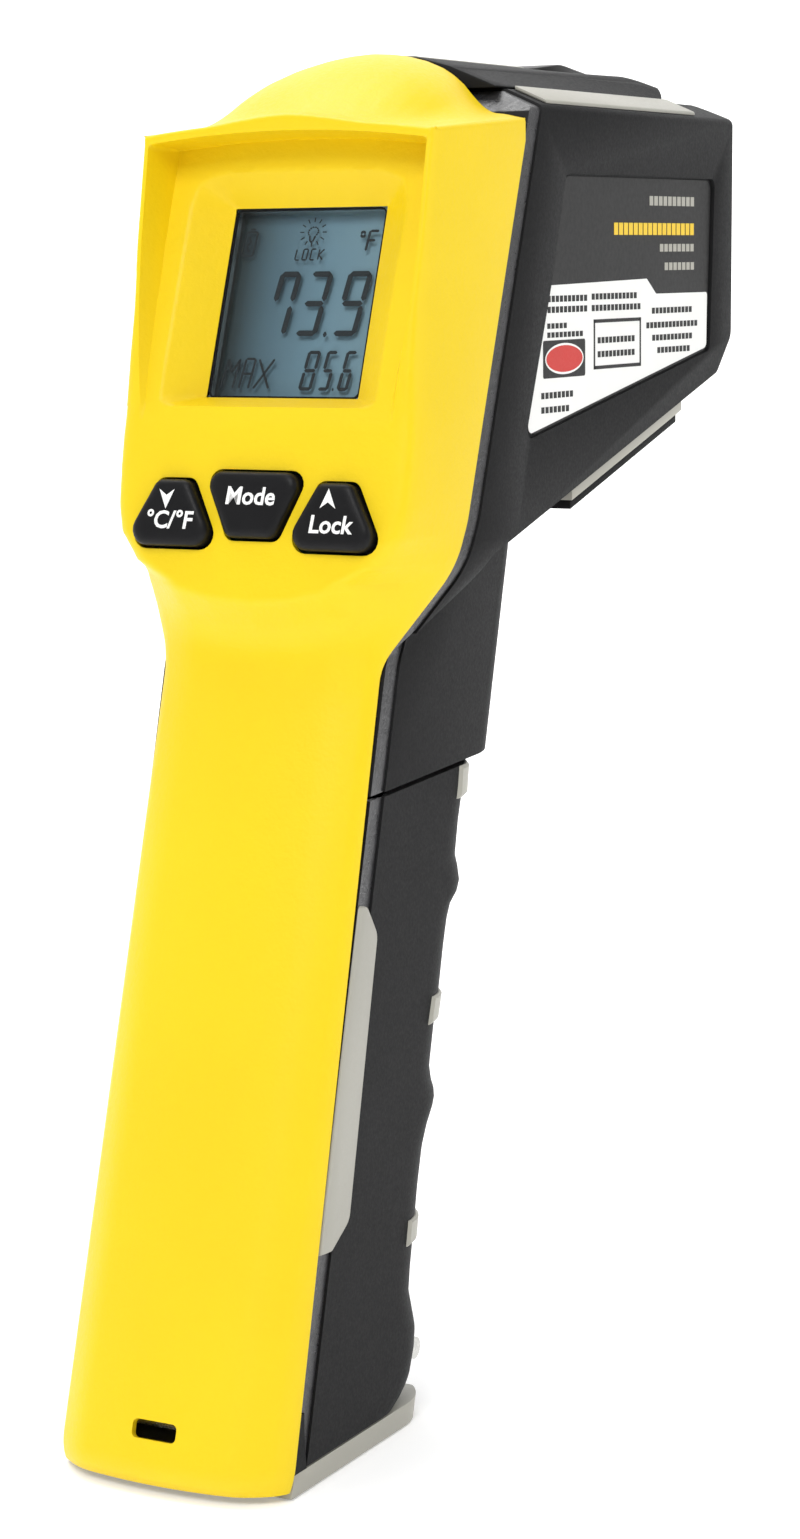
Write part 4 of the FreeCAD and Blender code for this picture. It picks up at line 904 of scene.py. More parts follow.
def slab(name: str, points: Sequence[tuple[float, float]], faces: Sequence[Sequence[int]],
         frame_matrix: Matrix, low: float, high: float, finish: Finish) -> bpy.types.Object:
    """Gives flat shapes a thickness and puts them in a frame.

    Args:
        name: the piece's name.
        points: flat points in the frame's plane, in millimetres.
        faces: their faces, turned anticlockwise.
        frame_matrix: the frame, in millimetres.
        low: the underside's height along the frame's Z.
        high: the top's height.
        finish: the finish.

    Returns:
        The piece.
    """
    count = len(points)
    solid = [frame_matrix @ Vector((a, b, depth)) for depth in (low, high) for a, b in points]
    sides: list[Sequence[int]] = []
    for face in faces:
        sides.append(tuple(reversed(face)))
        sides.append(tuple(index + count for index in face))
        for place, index in enumerate(face):
            after = face[(place + 1) % len(face)]
            sides.append((index, after, after + count, index + count))
    piece = new_piece(name, solid, sides, finish)
    bevel_free = bmesh.new()
    bevel_free.from_mesh(piece.data)
    bmesh.ops.recalc_face_normals(bevel_free, faces=bevel_free.faces)
    bevel_free.to_mesh(piece.data)
    bevel_free.free()
    return piece


def lettering(name: str, text: str, size: float, frame_matrix: Matrix, finish: Finish,
              place: tuple[float, float], slant: float = 0.12, bold: float = 0.055,
              thick: float = 0.03) -> bpy.types.Object:
    """Prints a generic word as a thin raised mesh.

    Args:
        name: the piece's name.
        text: the word.
        size: the type size in millimetres.
        frame_matrix: the frame it lies in, in millimetres.
        finish: the ink.
        place: the word's middle in the frame.
        slant: the italic slant.
        bold: how much the strokes are thickened.
        thick: the ink's thickness.

    Returns:
        The piece.
    """
    curve = bpy.data.curves.new(name, "FONT")
    curve.body = text
    curve.size = size
    curve.shear = slant
    curve.offset = bold
    curve.align_x = "CENTER"
    curve.align_y = "CENTER"
    curve.extrude = thick / 2.0
    curve.resolution_u = 3
    holder = bpy.data.objects.new(name, curve)
    bpy.context.scene.collection.objects.link(holder)
    bpy.context.view_layer.update()
    mesh = bpy.data.meshes.new_from_object(holder.evaluated_get(
        bpy.context.evaluated_depsgraph_get()))
    bpy.data.objects.remove(holder)
    mesh.transform(Matrix.Scale(MM, 4) @ frame_matrix
                   @ Matrix.Translation((place[0], place[1], thick / 2.0)))
    mesh.name = name
    mesh.materials.clear()
    mesh.materials.append(finish.material())
    piece = bpy.data.objects.new(name, mesh)
    bpy.context.scene.collection.objects.link(piece)
    clean(piece, 0.0005)
    smooth_by_angle(mesh, 30.0)
    return piece


def join(name: str, parts: Sequence[bpy.types.Object]) -> bpy.types.Object:
    """Joins plain mesh pieces into one.

    Args:
        name: the new piece's name.
        parts: the pieces, which are deleted.

    Returns:
        The new piece.
    """
    mesh = bmesh.new()
    for part in parts:
        mesh.from_mesh(part.data)
    whole = bpy.data.meshes.new(name)
    mesh.to_mesh(whole)
    mesh.free()
    whole.materials.append(parts[0].data.materials[0])
    for part in parts:
        bpy.data.objects.remove(part)
    piece = bpy.data.objects.new(name, whole)
    bpy.context.scene.collection.objects.link(piece)
    smooth_by_angle(whole, 35.0)
    return piece


# ---------------------------------------------------------------- repeated parts

class Layout(Enum):
    """How a repeat is laid out."""

    RING = "ring"
    ROW = "row"


@dataclass
class Repeat:
    """A Geometry Nodes group that repeats one small block round a ring or along a row."""

    name: str
    layout: Layout
    count: int
    reach: float
    block: tuple
    finish: Finish

    def group(self) -> bpy.types.GeometryNodeTree:
        """Builds the node group with its named inputs.

        Returns:
            The group.
        """
        tree = bpy.data.node_groups.new(f"repeat_{self.layout.value}", "GeometryNodeTree")
        sockets = (("Count", "NodeSocketInt"), ("Reach", "NodeSocketFloat"),
                   ("Block", "NodeSocketVector"), ("Finish", "NodeSocketMaterial"))
        for label, kind in sockets:
            tree.interface.new_socket(label, in_out="INPUT", socket_type=kind)
        tree.interface.new_socket("Mesh", in_out="OUTPUT", socket_type="NodeSocketGeometry")
        given = add_node(tree, "NodeGroupInput").outputs
        block = add_node(tree, "GeometryNodeMeshCube", {"Size": given["Block"]})
        if self.layout is Layout.RING:
            line = add_node(tree, "GeometryNodeMeshCircle", {"Vertices": given["Count"],
                                                             "Radius": given["Reach"]})
            place = add_node(tree, "GeometryNodeInputPosition")
            turn = add_node(tree, "FunctionNodeAlignRotationToVector",
                            {"Vector": place.outputs["Position"]}, axis="X", pivot_axis="Z")
            spin = {"Rotation": turn.outputs["Rotation"]}
        else:
            step = add_node(tree, "ShaderNodeCombineXYZ", {"X": given["Reach"]})
            line = add_node(tree, "GeometryNodeMeshLine", {"Count": given["Count"],
                                                           "Offset": step.outputs["Vector"]})
            spin = {}
        copies = add_node(tree, "GeometryNodeInstanceOnPoints",
                          {"Points": line.outputs["Mesh"], "Instance": block.outputs["Mesh"], **spin})
        solid = add_node(tree, "GeometryNodeRealizeInstances",
                         {"Geometry": copies.outputs["Instances"]})
        painted = add_node(tree, "GeometryNodeSetMaterial",
                           {"Geometry": solid.outputs["Geometry"], "Material": given["Finish"]})
        add_node(tree, "NodeGroupOutput", {"Mesh": painted.outputs["Geometry"]})
        return tree

    def build(self, frame_matrix: Matrix) -> bpy.types.Object:
        """Makes the repeat as a plain mesh in a frame.

        Args:
            frame_matrix: the frame, in millimetres.

        Returns:
            The piece.
        """
        holder = bpy.data.objects.new(self.name, bpy.data.meshes.new(self.name))
        bpy.context.scene.collection.objects.link(holder)
        tree = self.group()
        modifier = holder.modifiers.new("repeat", "NODES")
        modifier.node_group = tree
        values = {"Count": self.count, "Reach": self.reach, "Block": self.block,
                  "Finish": self.finish.material()}
        for item in tree.interface.items_tree:
            if item.in_out == "INPUT":
                modifier[item.identifier] = values[item.name]
        settle(holder)
        holder.data.transform(Matrix.Scale(MM, 4) @ frame_matrix)
        clean(holder, 0.0)
        return holder


# ---------------------------------------------------------------- keys

@dataclass
class Keys:
    """The three domed rubber keys with their printed legends."""

    proud: float = 1.2
    root: float = -1.9
    type_size: float = 2.65
    rings: tuple = ((0.0, 0.0), (0.0, 0.55), (0.12, 0.8), (0.4, 1.02), (0.8, 1.13), (1.4, 1.2))

    def solid(self, name: str) -> bpy.types.Object:
        """One key's body: a walled, crowned form on its outline.

        Args:
            name: the key's body name.

        Returns:
            The piece.
        """
        outline = key_outlines(0.0)[name]
        place = LINES.face_frame()
        count = len(outline)
        middle = np.mean(np.array(outline), axis=0)
        points = [place @ Vector((a, b, self.root)) for a, b in outline]
        for inset, height in self.rings:
            shape = self.shrunk(np.array(outline), middle, inset)
            points += [place @ Vector((a, b, height)) for a, b in shape]
        faces: list[Sequence[int]] = [tuple(reversed(range(count)))]
        for ring in range(len(self.rings)):
            for index in range(count):
                after = (index + 1) % count
                low = ring * count
                faces.append((low + index, low + after, low + count + after, low + count + index))
        last = len(self.rings) * count
        faces.append(tuple(range(last, last + count)))
        piece = new_piece(f"{name}_cap", points, faces, Finishes.key_rubber)
        clean(piece, 0.0)
        smooth_by_angle(piece.data, 50.0)
        return piece

    @staticmethod
    def shrunk(outline: np.ndarray, middle: np.ndarray, inset: float) -> np.ndarray:
        """Pulls an outline in towards its middle by about the inset.

        Args:
            outline: the outline's points.
            middle: its middle.
            inset: how far in, in millimetres.

        Returns:
            The smaller outline.
        """
        away = outline - middle
        reach = np.linalg.norm(away, axis=1)[:, None]
        return middle + away * (1.0 - inset / reach * 0.92)

    def legends(self) -> dict[str, list[bpy.types.Object]]:
        """The white legends.

        Returns:
            Each key's printed pieces, by the key's body name.
        """
        top = LINES.face_frame() @ Matrix.Translation((0.0, 0.0, self.proud + 0.005))
        ink = Finishes.legend_ink
        side = LINES.side_key_x
        arrow = [(-0.95, 0.8), (0.0, -1.3), (0.95, 0.8), (0.0, 0.15)]
        down = [(a - side - 0.4, b + 0.95) for a, b in arrow]
        up = [(a + side - 0.4, 0.95 - b) for a, b in reversed(arrow)]
        face = [(0, 1, 2, 3)]
        return {
            "key_left": [slab("legend_down", down, face, top, 0.0, 0.03, ink),
                         lettering("legend_units", "\u00b0C/\u00b0F", self.type_size, top, ink,
                                   (-side + 0.05, -1.65))],
            "key_mode": [lettering("legend_mode", "Mode", self.type_size, top, ink, (0.0, 1.15))],
            "key_right": [slab("legend_up", up, face, top, 0.0, 0.03, ink),
                          lettering("legend_lock", "Lock", self.type_size, top, ink,
                                    (side, -1.65))],
        }

    def build(self) -> None:
        """Builds the keys and puts each with its legend on its body."""
        marks = self.legends()
        for name in ("key_left", "key_mode", "key_right"):
            piece = dress(self.solid(name), name)
            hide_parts(name)
            for mark in marks[name]:
                dress(mark, name)


# ---------------------------------------------------------------- display

@dataclass
class Display:
    """The liquid-crystal display's dark marks, its black surround and the clear window."""

    width: float = 18.3
    tall: float = 21.0
    depth: float = -1.28
    border_half_x: float = 9.43
    border_half_y: float = 10.73
    slant: float = 0.14
    digit_bars: dict = field(default_factory=lambda: {
        "7": "abcf", "3": "abgcd", "9": "abfgcd", "8": "abcdefg", "5": "afgcd", "6": "afgedc"})

    def place(self, u: float, v: float) -> tuple[float, float]:
        """A point of the display from its shares across and down."""
        return (u - 0.5) * self.width, (0.5 - v) * self.tall

    def digit(self, mark: str, left: float, right: float, top: float, low: float,
              bar: float) -> tuple[list, list]:
        """One seven-bar digit.

        Args:
            mark: the digit.
            left: its left side, as a share across.
            right: its right side.
            top: its top, as a share down.
            low: its foot.
            bar: the bars' width in millimetres.

        Returns:
            The points and faces.
        """
        x0, y1 = self.place(left, top)
        x1, y0 = self.place(right, low)
        tall = y1 - y0
        lean = self.slant * tall
        x1 -= lean
        pad = bar / 2.0 + 0.05

        def spot(a: float, b: float) -> tuple[float, float]:
            """Leans a point with the digit."""
            return a + lean * (b - y0) / tall, b

        middle = (y0 + y1) / 2.0
        ends = {
            "a": ((x0, y1 - pad), (x1, y1 - pad)), "d": ((x0, y0 + pad), (x1, y0 + pad)),
            "g": ((x0, middle), (x1, middle)), "f": ((x0 + pad, y1), (x0 + pad, middle)),
            "b": ((x1 - pad, y1), (x1 - pad, middle)), "e": ((x0 + pad, middle), (x0 + pad, y0)),
            "c": ((x1 - pad, middle), (x1 - pad, y0)),
        }
        points: list = []
        faces: list = []
        for name in self.digit_bars[mark]:
            (ax, ay), (bx, by) = ends[name]
            trim = bar * 0.42
            length = math.hypot(bx - ax, by - ay)
            ux, uy = (bx - ax) / length, (by - ay) / length
            path = [spot(ax + ux * trim, ay + uy * trim), spot(bx - ux * trim, by - uy * trim)]
            more, shapes = stroke_points(path, bar)
            faces += [tuple(index + len(points) for index in shape) for shape in shapes]
            points += more
        return points, faces

    def shift(self) -> Vector:
        """How far the marks sit left and up, as they lie deeper than the window's face."""
        return Vector((0.42 * self.depth, -0.33 * self.depth, 0.0))

    def strokes(self, paths: Sequence[Sequence[tuple[float, float]]], width: float) -> tuple[list, list]:
        """Draws paths given in shares of the display.

        Args:
            paths: the paths.
            width: the strokes' width in millimetres.

        Returns:
            The points and the faces.
        """
        points: list = []
        faces: list = []
        for path in paths:
            more, shapes = stroke_points([self.place(u, v) for u, v in path], width)
            faces += [tuple(index + len(points) for index in shape) for shape in shapes]
            points += more
        return points, faces

    def marks(self) -> list[tuple[list, list]]:
        """Every dark mark on the display.

        Returns:
            Each mark's points and faces.
        """
        shapes = [self.digit("7", 0.29, 0.50, 0.33, 0.683, 0.62),
                  self.digit("3", 0.50, 0.715, 0.33, 0.683, 0.62),
                  self.digit("9", 0.755, 0.98, 0.33, 0.683, 0.62),
                  self.strokes([[(0.70, 0.672), (0.727, 0.672)]], 0.62),
                  self.digit("8", 0.585, 0.715, 0.757, 0.975, 0.38),
                  self.digit("5", 0.715, 0.83, 0.757, 0.975, 0.38),
                  self.digit("6", 0.845, 0.96, 0.757, 0.975, 0.38),
                  self.strokes([[(0.818, 0.965), (0.832, 0.965)]], 0.35)]
        letters = [
            [(0.05, 0.965), (0.085, 0.805)], [(0.085, 0.805), (0.115, 0.88)],
            [(0.115, 0.88), (0.165, 0.805)], [(0.165, 0.805), (0.135, 0.965)],
            [(0.18, 0.965), (0.205, 0.805)], [(0.205, 0.805), (0.27, 0.805)],
            [(0.27, 0.805), (0.245, 0.965)], [(0.195, 0.885), (0.255, 0.885)],
            [(0.295, 0.805), (0.385, 0.965)], [(0.40, 0.805), (0.28, 0.965)],
        ]
        shapes.append(self.strokes(letters, 0.27))
        lock = [
            [(0.434, 0.212), (0.428, 0.27)], [(0.428, 0.27), (0.458, 0.27)],
            [(0.482, 0.212), (0.476, 0.27)], [(0.482, 0.212), (0.512, 0.212)],
            [(0.512, 0.212), (0.506, 0.27)], [(0.476, 0.27), (0.506, 0.27)],
            [(0.536, 0.212), (0.53, 0.27)], [(0.536, 0.212), (0.566, 0.212)],
            [(0.53, 0.27), (0.56, 0.27)], [(0.59, 0.212), (0.584, 0.27)],
            [(0.588, 0.243), (0.622, 0.212)], [(0.588, 0.243), (0.616, 0.27)],
        ]
        shapes.append(self.strokes(lock, 0.17))
        battery = [
            [(0.05, 0.245), (0.065, 0.115)], [(0.065, 0.115), (0.145, 0.115)],
            [(0.145, 0.115), (0.13, 0.245)], [(0.13, 0.245), (0.05, 0.245)],
            [(0.088, 0.10), (0.128, 0.10)], [(0.09, 0.14), (0.105, 0.175)],
            [(0.105, 0.175), (0.082, 0.19)], [(0.082, 0.19), (0.10, 0.225)],
        ]
        shapes.append(self.strokes(battery, 0.24))
        unit = [
            [(0.868, 0.115), (0.853, 0.135)], [(0.853, 0.135), (0.868, 0.155)],
            [(0.868, 0.155), (0.884, 0.135)], [(0.884, 0.135), (0.868, 0.115)],
            [(0.915, 0.115), (0.90, 0.225)], [(0.915, 0.118), (0.975, 0.118)],
            [(0.908, 0.168), (0.957, 0.168)],
        ]
        shapes.append(self.strokes(unit, 0.3))
        bulb = [(0.527 + 0.034 * math.sin(angle) + 0.004 * math.cos(angle),
                 0.118 - 0.026 * math.cos(angle)) for angle in np.radians(range(-140, 141, 28))]
        neck = [(0.506, 0.136), (0.512, 0.172), (0.53, 0.172), (0.546, 0.138)]
        shapes.append(self.strokes([bulb, neck], 0.2))
        return shapes

    def rays(self) -> bpy.types.Object:
        """The short rays round the lamp mark, repeated round a ring.

        Returns:
            The rays as one piece.
        """
        x, y = self.place(0.527, 0.12)
        frame_matrix = LINES.window_frame() @ Matrix.Translation(self.shift()) \
            @ Matrix.Translation((x, y, self.depth + 0.02))
        ring = Repeat("lcd_rays", Layout.RING, 12, 1.42, (0.5, 0.13, 0.03), Finishes.lcd_ink)
        return ring.build(frame_matrix)

    def surround(self) -> bpy.types.Object:
        """The black printed border just inside the window's edge.

        Returns:
            The border.
        """
        half_x, half_y, band = self.border_half_x, self.border_half_y, 0.2
        outer = rounded([(-half_x, -half_y, 0.9), (half_x, -half_y, 0.9), (half_x, half_y, 0.9),
                         (-half_x, half_y, 0.9)], 5)
        inner = rounded([(-half_x + band, -half_y + band, 0.6), (half_x - band, -half_y + band, 0.6),
                         (half_x - band, half_y - band, 0.6), (-half_x + band, half_y - band, 0.6)], 5)
        count = len(outer)
        faces = [(index, (index + 1) % count, count + (index + 1) % count, count + index)
                 for index in range(count)]
        points = list(outer) + list(inner)
        solid = [LINES.window_frame() @ Vector((a, b, depth)) for depth in (-0.4, -0.1)
                 for a, b in points]
        total = len(points)
        walls: list[Sequence[int]] = []
        for a, b, c, d in faces:
            walls += [(d, c, b, a), (a + total, b + total, c + total, d + total),
                      (a, b, b + total, a + total), (c, d, d + total, c + total)]
        piece = new_piece("window_border", solid, walls, Finishes.black_gloss)
        clean(piece, 0.0)
        return piece

    def build(self) -> None:
        """Builds the display's marks and border."""
        place = LINES.window_frame()
        behind = place @ Matrix.Translation(self.shift())
        parts = [slab(f"mark_{index}", points, faces, behind, self.depth, self.depth + 0.03,
                      Finishes.lcd_ink) for index, (points, faces) in enumerate(self.marks())]
        dress(join("lcd_marks", parts), "housing")
        dress(self.rays(), "housing")
        dress(self.surround(), "housing")


def lcd_cell() -> bpy.types.Material:
    """The liquid-crystal cell, a rear reflector behind rubbed glass.

    To the eye it is a flat blue-grey with a faint speckle, and it darkens to the left, where the
    window's wall shades it.

    Returns:
        The material.
    """
    material = bpy.data.materials.new("lcd_cell_reflective")
    material.use_nodes = True
    tree = material.node_tree
    tree.nodes.clear()
    place = add_node(tree, "ShaderNodeTexCoord").outputs["Object"]
    axes = add_node(tree, "ShaderNodeSeparateXYZ", {"Vector": place})
    across = add_node(tree, "ShaderNodeMapRange", {"Value": axes.outputs["X"],
                                                   "From Min": -9.6 * MM, "From Max": 9.6 * MM})
    ramp = add_node(tree, "ShaderNodeValToRGB", {"Fac": across.outputs["Result"]})
    stops = ((0.0, "1F2728"), (0.08, "35444A"), (0.25, "5E7785"), (0.6, "829FB0"), (1.0, "92ACBA"))
    ramp.color_ramp.elements[0].color = linear(stops[0][1])
    ramp.color_ramp.elements[1].color = linear(stops[-1][1])
    for position, code in stops[1:-1]:
        ramp.color_ramp.elements.new(position).color = linear(code)
    speckle = add_node(tree, "ShaderNodeTexNoise", {"Vector": place, "Scale": 1.0 / (0.25 * MM)})
    swing = add_node(tree, "ShaderNodeMapRange", {"Value": speckle.outputs["Fac"],
                                                  "To Min": 0.34, "To Max": 0.46})
    shader = add_node(tree, "ShaderNodeBsdfPrincipled",
                      {"Base Color": ramp.outputs["Color"], "Roughness": swing.outputs["Result"]})
    add_node(tree, "ShaderNodeOutputMaterial", {"Surface": shader.outputs[0]})
    return material


def clear_window() -> bpy.types.Material:
    """The polished acrylic window: almost all light passes, and its face gives a faint sheen.

    Returns:
        The material.
    """
    material = bpy.data.materials.new("polished_acrylic_window")
    material.use_nodes = True
    tree = material.node_tree
    tree.nodes.clear()
    clear = add_node(tree, "ShaderNodeBsdfTransparent", {"Color": linear("F4F8F8")})
    sheen = add_node(tree, "ShaderNodeBsdfGlossy", {"Color": linear("FFFFFF"), "Roughness": 0.06})
    edge = add_node(tree, "ShaderNodeFresnel", {"IOR": 1.3})
    mix = add_node(tree, "ShaderNodeMixShader", {"Fac": edge.outputs[0], 1: clear.outputs[0],
                                                 2: sheen.outputs[0]})
    add_node(tree, "ShaderNodeOutputMaterial", {"Surface": mix.outputs[0]})
    return material


# ---------------------------------------------------------------- grip door

@dataclass
class GripDoor:
    """The black battery door: a rounded front with finger swells and light inlays."""

    half: float = 14.1
    corner: float = 10.2
    power: float = 2.2
    wall: float = 1.2
    rebate_wide: float = LINES.rebate_wide
    rebate_deep: float = 0.3
    seam_gap: float = 0.35
    front: tuple = ((2.55, 14.6), (3.4, 16.4), (4.2, 17.6), (5.2, 18.6), (7.9, 19.7), (10.1, 20.0),
                    (12.7, 19.2), (14.6, 18.6), (17.3, 19.0), (21.7, 20.0), (26.1, 20.9),
                    (30.4, 22.1), (32.6, 23.3), (34.4, 24.7), (35.3, 25.1), (36.2, 25.0),
                    (37.3, 24.4), (39.1, 24.0), (43.4, 25.1), (47.7, 26.5), (52.1, 27.6),
                    (55.0, 28.5), (56.6, 29.4), (57.7, 31.0), (58.8, 31.6), (60.4, 31.2),
                    (61.8, 30.6), (65.1, 31.4), (67.3, 32.2), (69.4, 33.2), (72.6, 33.4),
                    (91.0, 38.0))
    inlays: tuple = ((70.1, 1.8), (45.6, 1.5), (21.7, 1.4))

    def seam_z(self, y: float) -> float:
        """The door's top edge at a place along the barrel."""
        return 71.0 + 0.053 * y - self.seam_gap

    def section(self, z: float, proud: float = 0.0) -> list[tuple[float, float]]:
        """Half of one level section, from the middle of the front to the parting.

        Args:
            z: the height.
            proud: how far the section is grown.

        Returns:
            The (x, y) points.
        """
        heights, fronts = zip(*self.front)
        front = float(np.interp(z, heights, fronts)) - 0.25 + proud
        half = self.half + proud
        parting = float(LINES.parting_y(np.array(z))) + 2.0 * LINES.gap
        corner = min(self.corner, front - parting - self.rebate_wide - 1.0)
        points = []
        for angle in np.linspace(0.0, math.pi / 2.0, 22):
            x = half * math.sin(angle) ** (2.0 / self.power)
            y = front - corner * (1.0 - math.cos(angle) ** (2.0 / self.power))
            points.append((x, y))
        step = parting + self.rebate_wide
        for share in np.linspace(0.0, 1.0, 6)[1:]:
            points.append((half, points[21][1] + (step - points[21][1]) * share))
        points.append((half - self.rebate_deep, step - 0.05))
        points.append((half - self.rebate_deep, parting))
        return points

    def shell(self) -> bpy.types.Object:
        """The door's skin with a wall inwards.

        Returns:
            The skin.
        """
        heights = np.concatenate([np.linspace(2.6, 13.0, 24), np.linspace(13.4, 32.0, 30),
                                  np.linspace(32.4, 38.5, 22), np.linspace(39.0, 55.0, 26),
                                  np.linspace(55.3, 62.0, 26), np.linspace(62.4, 71.0, 22)])
        rows = []
        for z in heights:
            half = self.section(float(z))
            lifted = [(x, y, float(z) + (self.seam_z(y) - 71.0) * float(ease(60.0, 71.0, np.array(z))))
                      for x, y in half]
            rows.append([(-x, y, h) for x, y, h in lifted[:0:-1]] + lifted)
        points = [point for row in rows for point in row]
        piece = new_piece("battery_door_shell", points, grid_faces(len(rows), len(rows[0])),
                          Finishes.black_abs)
        skin = piece.modifiers.new("wall", "SOLIDIFY")
        skin.thickness = self.wall * MM
        spot = Vector((0.0, 0.025, 0.045))
        near = min(piece.data.polygons, key=lambda face: (face.center - spot).length)
        skin.offset = -1.0 if near.normal.y > 0.0 else 1.0
        settle(piece)
        clean(piece, 0.0)
        cut_with(piece, self.knuckle_room())
        paint_rebate(piece, self.rebate_wide)
        return piece

    def knuckle_room(self) -> list[bpy.types.Object]:
        """The cutter for the notch that the base's hinge knuckle fills.

        Returns:
            The cutter, in a list.
        """
        across = Matrix.Rotation(math.radians(90.0), 4, "Y")
        hinge_y, hinge_z, radius, half = 15.2, 7.0, 4.65, 6.5
        below = -2.0
        ring = [(-hinge_z - radius * math.sin(angle), hinge_y + radius * math.cos(angle))
                for angle in np.linspace(0.0, math.pi, 25)]
        outline = ring + [(-below, hinge_y - radius), (-below, hinge_y + radius)]
        return [cutter("knuckle_room", outline, across, -half, half)]

    def inlay(self, mid_z: float, half_tall: float) -> bpy.types.Object:
        """One light inlay that wraps round the front and both corners.

        Args:
            mid_z: its middle's height.
            half_tall: half of its height.

        Returns:
            The inlay.
        """
        rows = []
        profile = ((-half_tall, -0.3), (-half_tall, 0.12), (-half_tall * 0.8, 0.34),
                   (half_tall * 0.8, 0.34), (half_tall, 0.12), (half_tall, -0.3))
        for offset, proud in profile:
            half = [(x, y) for x, y in self.section(mid_z + offset, proud)[:21]]
            row = [(-x, y, mid_z + offset) for x, y in half[:0:-1]]
            row += [(x, y, mid_z + offset) for x, y in half]
            rows.append(row)
        points = [point for row in rows for point in row]
        count = len(rows[0])
        faces = grid_faces(len(rows), count)
        back = (len(rows) - 1) * count
        faces += [(index, back + index, back + index + 1, index + 1) for index in range(count - 1)]
        faces.append(tuple(row * count for row in range(len(rows))))
        faces.append(tuple(row * count + count - 1 for row in reversed(range(len(rows)))))
        piece = new_piece(f"door_inlay_{round(mid_z)}", points, faces, Finishes.grey_abs)
        clean(piece, 0.0)
        smooth_by_angle(piece.data, 40.0)
        return piece

    def build(self) -> None:
        """Builds the door and its inlays on the door's body."""
        shell = dress(self.shell(), "door")
        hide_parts("battery_door")
        strips = join("door_inlays", [self.inlay(mid_z, tall) for mid_z, tall in self.inlays])
        dress(strips, "door")
        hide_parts("door_ribs")


def paint_rebate(piece: bpy.types.Object, wide: float) -> None:
    """Gives the stepped strip beside the parting its coarser finish, whose lighter, speckled grey is
    painted light.

    Args:
        piece: the black piece.
        wide: the strip's width along the barrel.
    """
    mesh = piece.data
    mesh.materials.append(Finishes.rebate_grain_and_painted_light.material())
    last = len(mesh.materials) - 1
    # the strip's faces take the coarse finish whose lighter, speckled grey is painted light
    for face in mesh.polygons:
        z = face.center.z / MM
        parting = float(LINES.parting_y(np.array(z)))
        if face.center.y / MM < parting + wide + 0.1 and abs(face.normal.y) < 0.8:
            face.material_index = last


# ---------------------------------------------------------------- black housing, trim and labels

